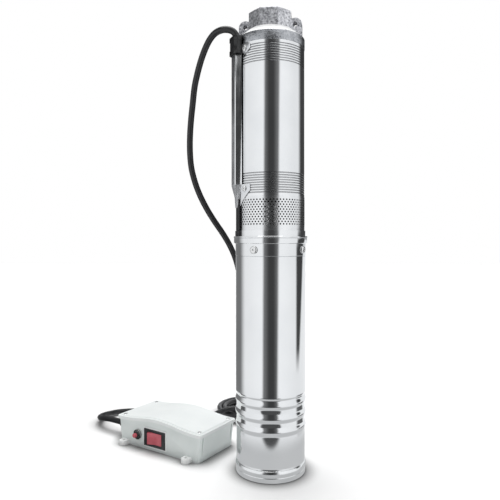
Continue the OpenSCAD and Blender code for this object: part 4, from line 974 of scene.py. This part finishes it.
LID_W = 166
LID_D = 88
LID_Z = 36.5
LID_ARCH = 6.5
LID_CORNER = 4
LID_SCREW_INSET = 9
LID_SCREW_WELL_R = 3.3
LID_SCREW_SEAT = 4.4
ARCH_REACH = 0.44
LONG_STEPS = 48
SHORT_STEPS = 16
CORNER_STEPS = 6
LEAST_CORNER = 0.6
LID_JOIN_REACH = 5e-5
WELL_H = 20
WELL_SIDES = 32
LID_PROFILE = [
    (43.99, 3.5), (34, 3.5), (16, 3.5), (4.5, 3.5), (4.5, 0), (0.5, 0), (0, 0.4), (0, 4.2), (0.4, 4.8), (1.1, 5.0),
    (2.6, 5.0), (3.2, 4.3), (4.0, 4.3), (4.7, 5.5), (5.6, 6.0), (6.6, 6.0), (9, 6.0), (16, 6.0), (24, 6.0),
    (34, 6.0), (43.99, 6.0),
]


def lid_outline(inset):
    """Places round the lid, drawn in by an inset, with round corners."""
    r = min(max(LID_CORNER - inset, LEAST_CORNER), LID_D / 2 - inset)
    right = LID_W - inset - r
    back = LID_D - inset - r
    near = inset + r
    corners = [(right, back), (near, back), (near, near), (right, near)]
    points = []
    for c, (x, y) in enumerate(corners):
        for k in range(CORNER_STEPS + 1):
            angle = math.radians(90 * c + 90 * k / CORNER_STEPS)
            points.append((x + r * math.cos(angle), y + r * math.sin(angle)))
        steps = LONG_STEPS if c % 2 == 0 else SHORT_STEPS
        start = points[-1]
        next_x, next_y = corners[(c + 1) % 4]
        end_angle = math.radians(90 * (c + 1))
        end = (next_x + r * math.cos(end_angle), next_y + r * math.sin(end_angle))
        for k in range(1, steps):
            points.append((mixed(start[0], end[0], k / steps), mixed(start[1], end[1], k / steps)))
    return points


def lid_arch(x):
    across = (x - LID_W / 2) / (LID_W * ARCH_REACH)
    return LID_ARCH * (1 + math.cos(math.pi * across)) / 2 if abs(across) < 1 else 0


def lid_mesh():
    form = bmesh.new()
    loops = []
    for inset, height in LID_PROFILE:
        loop = []
        for x, y in lid_outline(inset):
            z = LID_Z + height + lid_arch(x)
            loop.append(form.verts.new([v * MM for v in from_box(x, y, z)]))
        loops.append(loop)
    for low, high in zip(loops, loops[1:]):
        for k in range(len(low)):
            nxt = (k + 1) % len(low)
            form.faces.new((low[k], low[nxt], high[nxt], high[k]))
    bmesh.ops.remove_doubles(form, verts=form.verts, dist=LID_JOIN_REACH)
    bmesh.ops.recalc_face_normals(form, faces=form.faces)
    return new_mesh("lid", form)


def screw_wells():
    """Round cutters over the four lid screws."""
    form = bmesh.new()
    for x in (LID_SCREW_INSET, LID_W - LID_SCREW_INSET):
        for y in (LID_SCREW_INSET, LID_D - LID_SCREW_INSET):
            place = Matrix.Translation([v * MM for v in from_box(x, y, LID_Z + LID_SCREW_SEAT + WELL_H / 2)])
            bmesh.ops.create_cone(form, cap_ends=True, segments=WELL_SIDES, radius1=LID_SCREW_WELL_R * MM,
                                  radius2=LID_SCREW_WELL_R * MM, depth=WELL_H * MM, matrix=place)
    return mesh_object("screw_wells", new_mesh("screw_wells", form))


def add_lid():
    obj = mesh_object("lid", lid_mesh())
    wells = screw_wells()
    scene.collection.objects.link(wells)
    cutter = obj.modifiers.new("wells", "BOOLEAN")
    cutter.object = wells
    cutter.solver = "EXACT"
    obj = frozen(obj)
    bpy.data.objects.remove(wells)
    smooth(obj.data)
    place_piece(obj, lid_plastic, "box_lid")


add_lid()


# Reset switch, black with a grey ring nut

RESET_X = 43
CONTROLS_Z = 19
BUSH_R = 5
BUSH_EASE = 0.2
NUT_BACK = 0.9


def on_nut(face):
    """The front of the reset switch, outside its bush."""
    offset = face.center - Vector(from_box(RESET_X, 0, CONTROLS_Z)) * MM
    way_out = box_way(0, -1).normalized()
    forward = offset.dot(way_out)
    return forward > -NUT_BACK * MM and (offset - way_out * forward).length > (BUSH_R + BUSH_EASE) * MM


def add_reset():
    obj = softened("reset_body", dark_plastic, width=0.4)
    paint(obj, nut_metal, on_nut)


add_reset()


# Stage, with a glowing tent and floor mat that only reflections see, which paint the reflections in the steel

FLOOR_REACH = 6
FLOOR_ROUGH = 0.9
FLOOR_GLOW = 0.02
PAINTED_SHADOW_REACH = 0.024
PAINTED_SHADOW_RANGE = (0.5, 0.97)
PAINTED_SHADOW_TONES = (0.22, 0.94)


def floor_material():
    """Pale matt floor with a painted contact shadow, darker close to what stands on it, that the camera alone sees
    a little brighter.
    """
    material, tree, shader = new_material("floor")
    shader.inputs["Roughness"].default_value = FLOOR_ROUGH
    # Painted shadow: the floor's colour darkens where occlusion is high
    close_by = tree.nodes.new("ShaderNodeAmbientOcclusion")
    close_by.inputs["Distance"].default_value = PAINTED_SHADOW_REACH
    tone = mapped(tree, close_by.outputs["AO"], PAINTED_SHADOW_RANGE, PAINTED_SHADOW_TONES)
    tree.links.new(tone, shader.inputs["Base Color"])
    path = tree.nodes.new("ShaderNodeLightPath")
    level = maths(tree, "MULTIPLY", path.outputs["Is Camera Ray"], FLOOR_GLOW)
    glow = tree.nodes.new("ShaderNodeEmission")
    both = tree.nodes.new("ShaderNodeAddShader")
    tree.links.new(level, glow.inputs["Strength"])
    tree.links.new(shader.outputs["BSDF"], both.inputs[0])
    tree.links.new(glow.outputs["Emission"], both.inputs[1])
    tree.links.new(both.outputs["Shader"], tree.nodes["Material Output"].inputs["Surface"])
    return material


# The tent's azimuths are in degrees from the front, positive to the right, and its heights are in metres

OPENING_LEFT = -24.5
OPENING_RIGHT = 20.8
OPENING_LEFT_DRIFT = 7.5
OPENING_RIGHT_DRIFT = 11
OPENING_SOFT = 4
OPENING_Z = 0.2
OPENING_TOP_Z = 0.9
OPENING_TOP_SOFT = 0.015
OPENING_STEP = 0.16
OPENING_STEP_AZIMUTHS = (-8, 3)


def opening_share(azimuth, height):
    """How far a place lies in the opening in front, which drifts to the right as it rises."""
    rise = height - OPENING_Z
    top = OPENING_TOP_Z - OPENING_STEP * soft_step(azimuth, *OPENING_STEP_AZIMUTHS)
    left = OPENING_LEFT + OPENING_LEFT_DRIFT * rise
    right = OPENING_RIGHT + OPENING_RIGHT_DRIFT * rise
    below_top = 1 - soft_step(height, top - OPENING_TOP_SOFT, top + OPENING_TOP_SOFT)
    return soft_band(azimuth, left, right, OPENING_SOFT) * below_top


RIGHT_START = 85
RIGHT_HIGH_SHIFT = 21
RIGHT_END = 104
RIGHT_HIGH_END = 200
RIGHT_Z = 0.12
RIGHT_WIDENING = 112
RIGHT_SOFT = 4
RIGHT_HIGH_SOFT = 10
RIGHT_FOOT_HEIGHTS = (0.05, 0.1)


def right_share(azimuth, height, high_up):
    """How far a place lies in the dark back right corner, which widens as it rises."""
    start = RIGHT_START + RIGHT_HIGH_SHIFT * high_up
    end = RIGHT_END + RIGHT_WIDENING * (height - RIGHT_Z)
    soft = mixed(RIGHT_SOFT, RIGHT_HIGH_SOFT, high_up)
    share = soft_band(azimuth, start, mixed(end, RIGHT_HIGH_END, high_up), soft)
    return share * soft_step(height, *RIGHT_FOOT_HEIGHTS)


LEFT_START = -160
LEFT_HIGH_SHIFT = -45
LEFT_END = -100
LEFT_SOFT = 15
LEFT_GREY = 0.2
LEFT_HIGH_GAIN = 0.12
LEFT_TOP_LOSS = 0.25
LEFT_TOP_HEIGHTS = (0.56, 0.6)
BACK_AZIMUTHS = (125, 175)
CORNER_DARK = 0.06


def left_share(azimuth, high_up):
    """How far a place lies in the grey back left corner."""
    return soft_band(azimuth, LEFT_START + LEFT_HIGH_SHIFT * high_up, LEFT_END, LEFT_SOFT)


def left_tone(azimuth, height, high_up):
    """The left corner's grey, which goes over into the right corner's dark at the back."""
    tone = LEFT_GREY + LEFT_HIGH_GAIN * high_up - LEFT_TOP_LOSS * soft_step(height, *LEFT_TOP_HEIGHTS)
    return mixed(tone, CORNER_DARK, soft_step(-azimuth, *BACK_AZIMUTHS) * high_up)


EAVE_LEFT = -120
EAVE_RIGHT = -34
EAVE_SOFT = 6
EAVE_HEIGHTS = (0.725, 0.755)
EAVE_DARK = 0.12


def eave_share(azimuth, height):
    """How far a place lies in the dark band over the tent's left side."""
    return soft_band(azimuth, EAVE_LEFT, EAVE_RIGHT, EAVE_SOFT) * soft_step(height, *EAVE_HEIGHTS)


TENT_R = 0.38
TENT_H = 1.4
TENT_COLUMNS = 180
TENT_ROWS = 56
TENT_TINT = (0.97, 0.985, 1)
TENT_WHITE = 1.08
TENT_DARK = 0.055
RIM_GAIN = 0.14
RIM_AZIMUTHS = (5, 22)
SIDE_LOSS = 0.1
SIDE_AZIMUTHS = (20, 90)
HIGH_UP_HEIGHTS = (0.3, 0.36)
CORNER_TOP_HEIGHTS = (0.86, 0.9)


def tent_shade(azimuth, height):
    """Painted reflection: the tent glows white, with a dark opening in front, a dark back right corner and a grey
    back left corner.
    """
    high_up = soft_step(height, *HIGH_UP_HEIGHTS)
    below_edge = 1 - soft_step(height, *CORNER_TOP_HEIGHTS)
    front_tone = TENT_DARK + RIM_GAIN * soft_step(abs(azimuth), *RIM_AZIMUTHS)
    level = TENT_WHITE * (1 - SIDE_LOSS * soft_step(abs(azimuth), *SIDE_AZIMUTHS))
    level = mixed(level, front_tone, opening_share(azimuth, height))
    level = mixed(level, CORNER_DARK, right_share(azimuth, height, high_up) * below_edge)
    level = mixed(level, EAVE_DARK, eave_share(azimuth, height))
    return mixed(level, left_tone(azimuth, height, high_up), left_share(azimuth, high_up) * below_edge)


def mirror_only(name, points, faces, shades):
    """A glowing sheet of given shades that only reflections see."""
    mesh = bpy.data.meshes.new(name)
    mesh.from_pydata(points, [], faces)
    tone = mesh.color_attributes.new("tone", "FLOAT_COLOR", "POINT")
    for item, shade in zip(tone.data, shades):
        item.color = (*(part * shade for part in TENT_TINT), 1)
    material = bpy.data.materials.new(name)
    material.use_nodes = True
    tree = material.node_tree
    tree.nodes.clear()
    colour = tree.nodes.new("ShaderNodeVertexColor")
    colour.layer_name = "tone"
    glow = tree.nodes.new("ShaderNodeEmission")
    out = tree.nodes.new("ShaderNodeOutputMaterial")
    tree.links.new(colour.outputs["Color"], glow.inputs["Color"])
    tree.links.new(glow.outputs["Emission"], out.inputs["Surface"])
    obj = mesh_object(name, mesh)
    set_finish(obj, material)
    scene.collection.objects.link(obj)
    obj.visible_camera = False
    obj.visible_diffuse = False
    obj.visible_shadow = False
    obj.visible_transmission = False


def band_faces(rows, columns):
    """Faces between rows of points that close round the axis."""
    faces = []
    for row in range(rows):
        here = row * columns
        there = here + columns
        for k in range(columns):
            nxt = (k + 1) % columns
            faces.append((here + k, here + nxt, there + nxt, there + k))
    return faces


def add_tent():
    points = []
    shades = []
    for row in range(TENT_ROWS + 1):
        height = TENT_H * row / TENT_ROWS
        for column in range(TENT_COLUMNS):
            azimuth = -180 + 360 * column / TENT_COLUMNS
            turn = math.radians(azimuth)
            points.append((TENT_R * math.sin(turn), -TENT_R * math.cos(turn), height))
            shades.append(tent_shade(azimuth, height))
    # The tent is a glowing sheet that paints the reflections
    mirror_only("tent", points, band_faces(TENT_ROWS, TENT_COLUMNS), shades)


MAT_R = 0.378
MAT_HOLE_R = 0.044
MAT_Z = 0.0006
MAT_RINGS = 60
MAT_SIDES = 144
# Grey glow near the foot, painted shade as the reflections see it
MAT_FOOT_PAINTED_SHADE = 0.58
MAT_FOOT_GAIN = 0.04
MAT_FOOT_RADII = (0.05, 0.09)
MAT_OUTER_GAIN = 0.38
MAT_OUTER_RADII = (0.13, 0.22)
MAT_CORNER_START = 88
MAT_CORNER_END = 124
MAT_CORNER_SOFT = 6
MAT_CORNER_RADII = (0.17, 0.22)
MAT_CORNER_DARK = 0.12
FRONT_MAT = (-0.008, -0.33)
FRONT_MAT_R = 0.182
FRONT_MAT_EDGE = (0.86, 1)
FRONT_MAT_DARK = TENT_DARK + 0.03


def mat_shade(x, y):
    """Painted reflection and painted shade: a grey glow round the pump's foot for the shade there, white farther
    out, dark under the tent's opening and in dark corners.
    """
    reach = math.hypot(x, y)
    azimuth = abs(math.degrees(math.atan2(x, -y)))
    corner = soft_band(azimuth, MAT_CORNER_START, MAT_CORNER_END, MAT_CORNER_SOFT)
    corner = corner * soft_step(reach, *MAT_CORNER_RADII)
    front_reach = math.hypot(x - FRONT_MAT[0], y - FRONT_MAT[1]) / FRONT_MAT_R
    level = MAT_FOOT_PAINTED_SHADE + MAT_FOOT_GAIN * soft_step(reach, *MAT_FOOT_RADII)
    level = level + MAT_OUTER_GAIN * soft_step(reach, *MAT_OUTER_RADII)
    level = mixed(level, MAT_CORNER_DARK, corner)
    return mixed(level, FRONT_MAT_DARK, 1 - soft_step(front_reach, *FRONT_MAT_EDGE))


def add_mat():
    points = []
    shades = []
    for ring in range(MAT_RINGS + 1):
        r = MAT_HOLE_R + (MAT_R - MAT_HOLE_R) * ring / MAT_RINGS
        for k in range(MAT_SIDES):
            turn = 2 * math.pi * k / MAT_SIDES
            x = r * math.cos(turn)
            y = r * math.sin(turn)
            points.append((x, y, MAT_Z))
            shades.append(mat_shade(x, y))
    mirror_only("mat", points, band_faces(MAT_RINGS, MAT_SIDES), shades)


def add_floor():
    mesh = bpy.data.meshes.new("floor")
    corners = [(x * FLOOR_REACH, y * FLOOR_REACH, 0) for x, y in ((-1, -1), (1, -1), (1, 1), (-1, 1))]
    mesh.from_pydata(corners, [], [(0, 1, 2, 3)])
    floor = mesh_object("floor", mesh)
    set_finish(floor, floor_material())
    scene.collection.objects.link(floor)


SKY_LIGHT = 0.33
LAMP_AIM = (0, 0, 0.3)
SUN_PLACE = (-0.2, 0.6, 2.3)
SUN_POWER = 2.45
SUN_SPREAD = 55
FILL_PLACE = (1.6, -1.2, 1.4)
FILL_POWER = 10
FILL_SIZE = 1.4


def add_world():
    """White where it is seen or mirrored, and a grey sky as a light, so that the lamp's shadows stay."""
    world = bpy.data.worlds.new("studio")
    scene.world = world
    world.use_nodes = True
    tree = world.node_tree
    path = tree.nodes.new("ShaderNodeLightPath")
    mirrored = maths(tree, "MAXIMUM", path.outputs["Is Glossy Ray"], path.outputs["Is Transmission Ray"])
    seen = maths(tree, "MAXIMUM", path.outputs["Is Camera Ray"], mirrored)
    tone = mapped(tree, seen, (0, 1), (SKY_LIGHT, 1))
    shade = tree.nodes.new("ShaderNodeCombineColor")
    for channel in ("Red", "Green", "Blue"):
        tree.links.new(tone, shade.inputs[channel])
    tree.links.new(shade.outputs["Color"], tree.nodes["Background"].inputs["Color"])
    tree.nodes["Background"].inputs["Strength"].default_value = 1


def add_lamp(name, kind, place, power):
    lamp = bpy.data.lights.new(name, kind)
    lamp.energy = power
    obj = bpy.data.objects.new(name, lamp)
    obj.location = place
    obj.rotation_euler = (Vector(LAMP_AIM) - Vector(place)).to_track_quat("-Z", "Y").to_euler()
    scene.collection.objects.link(obj)
    return lamp


def add_stage():
    add_floor()
    add_world()
    add_lamp("overhead", "SUN", SUN_PLACE, SUN_POWER).angle = math.radians(SUN_SPREAD)
    add_lamp("fill", "AREA", FILL_PLACE, FILL_POWER).size = FILL_SIZE
    add_tent()
    add_mat()


add_stage()

scene.view_settings.view_transform = "Standard"
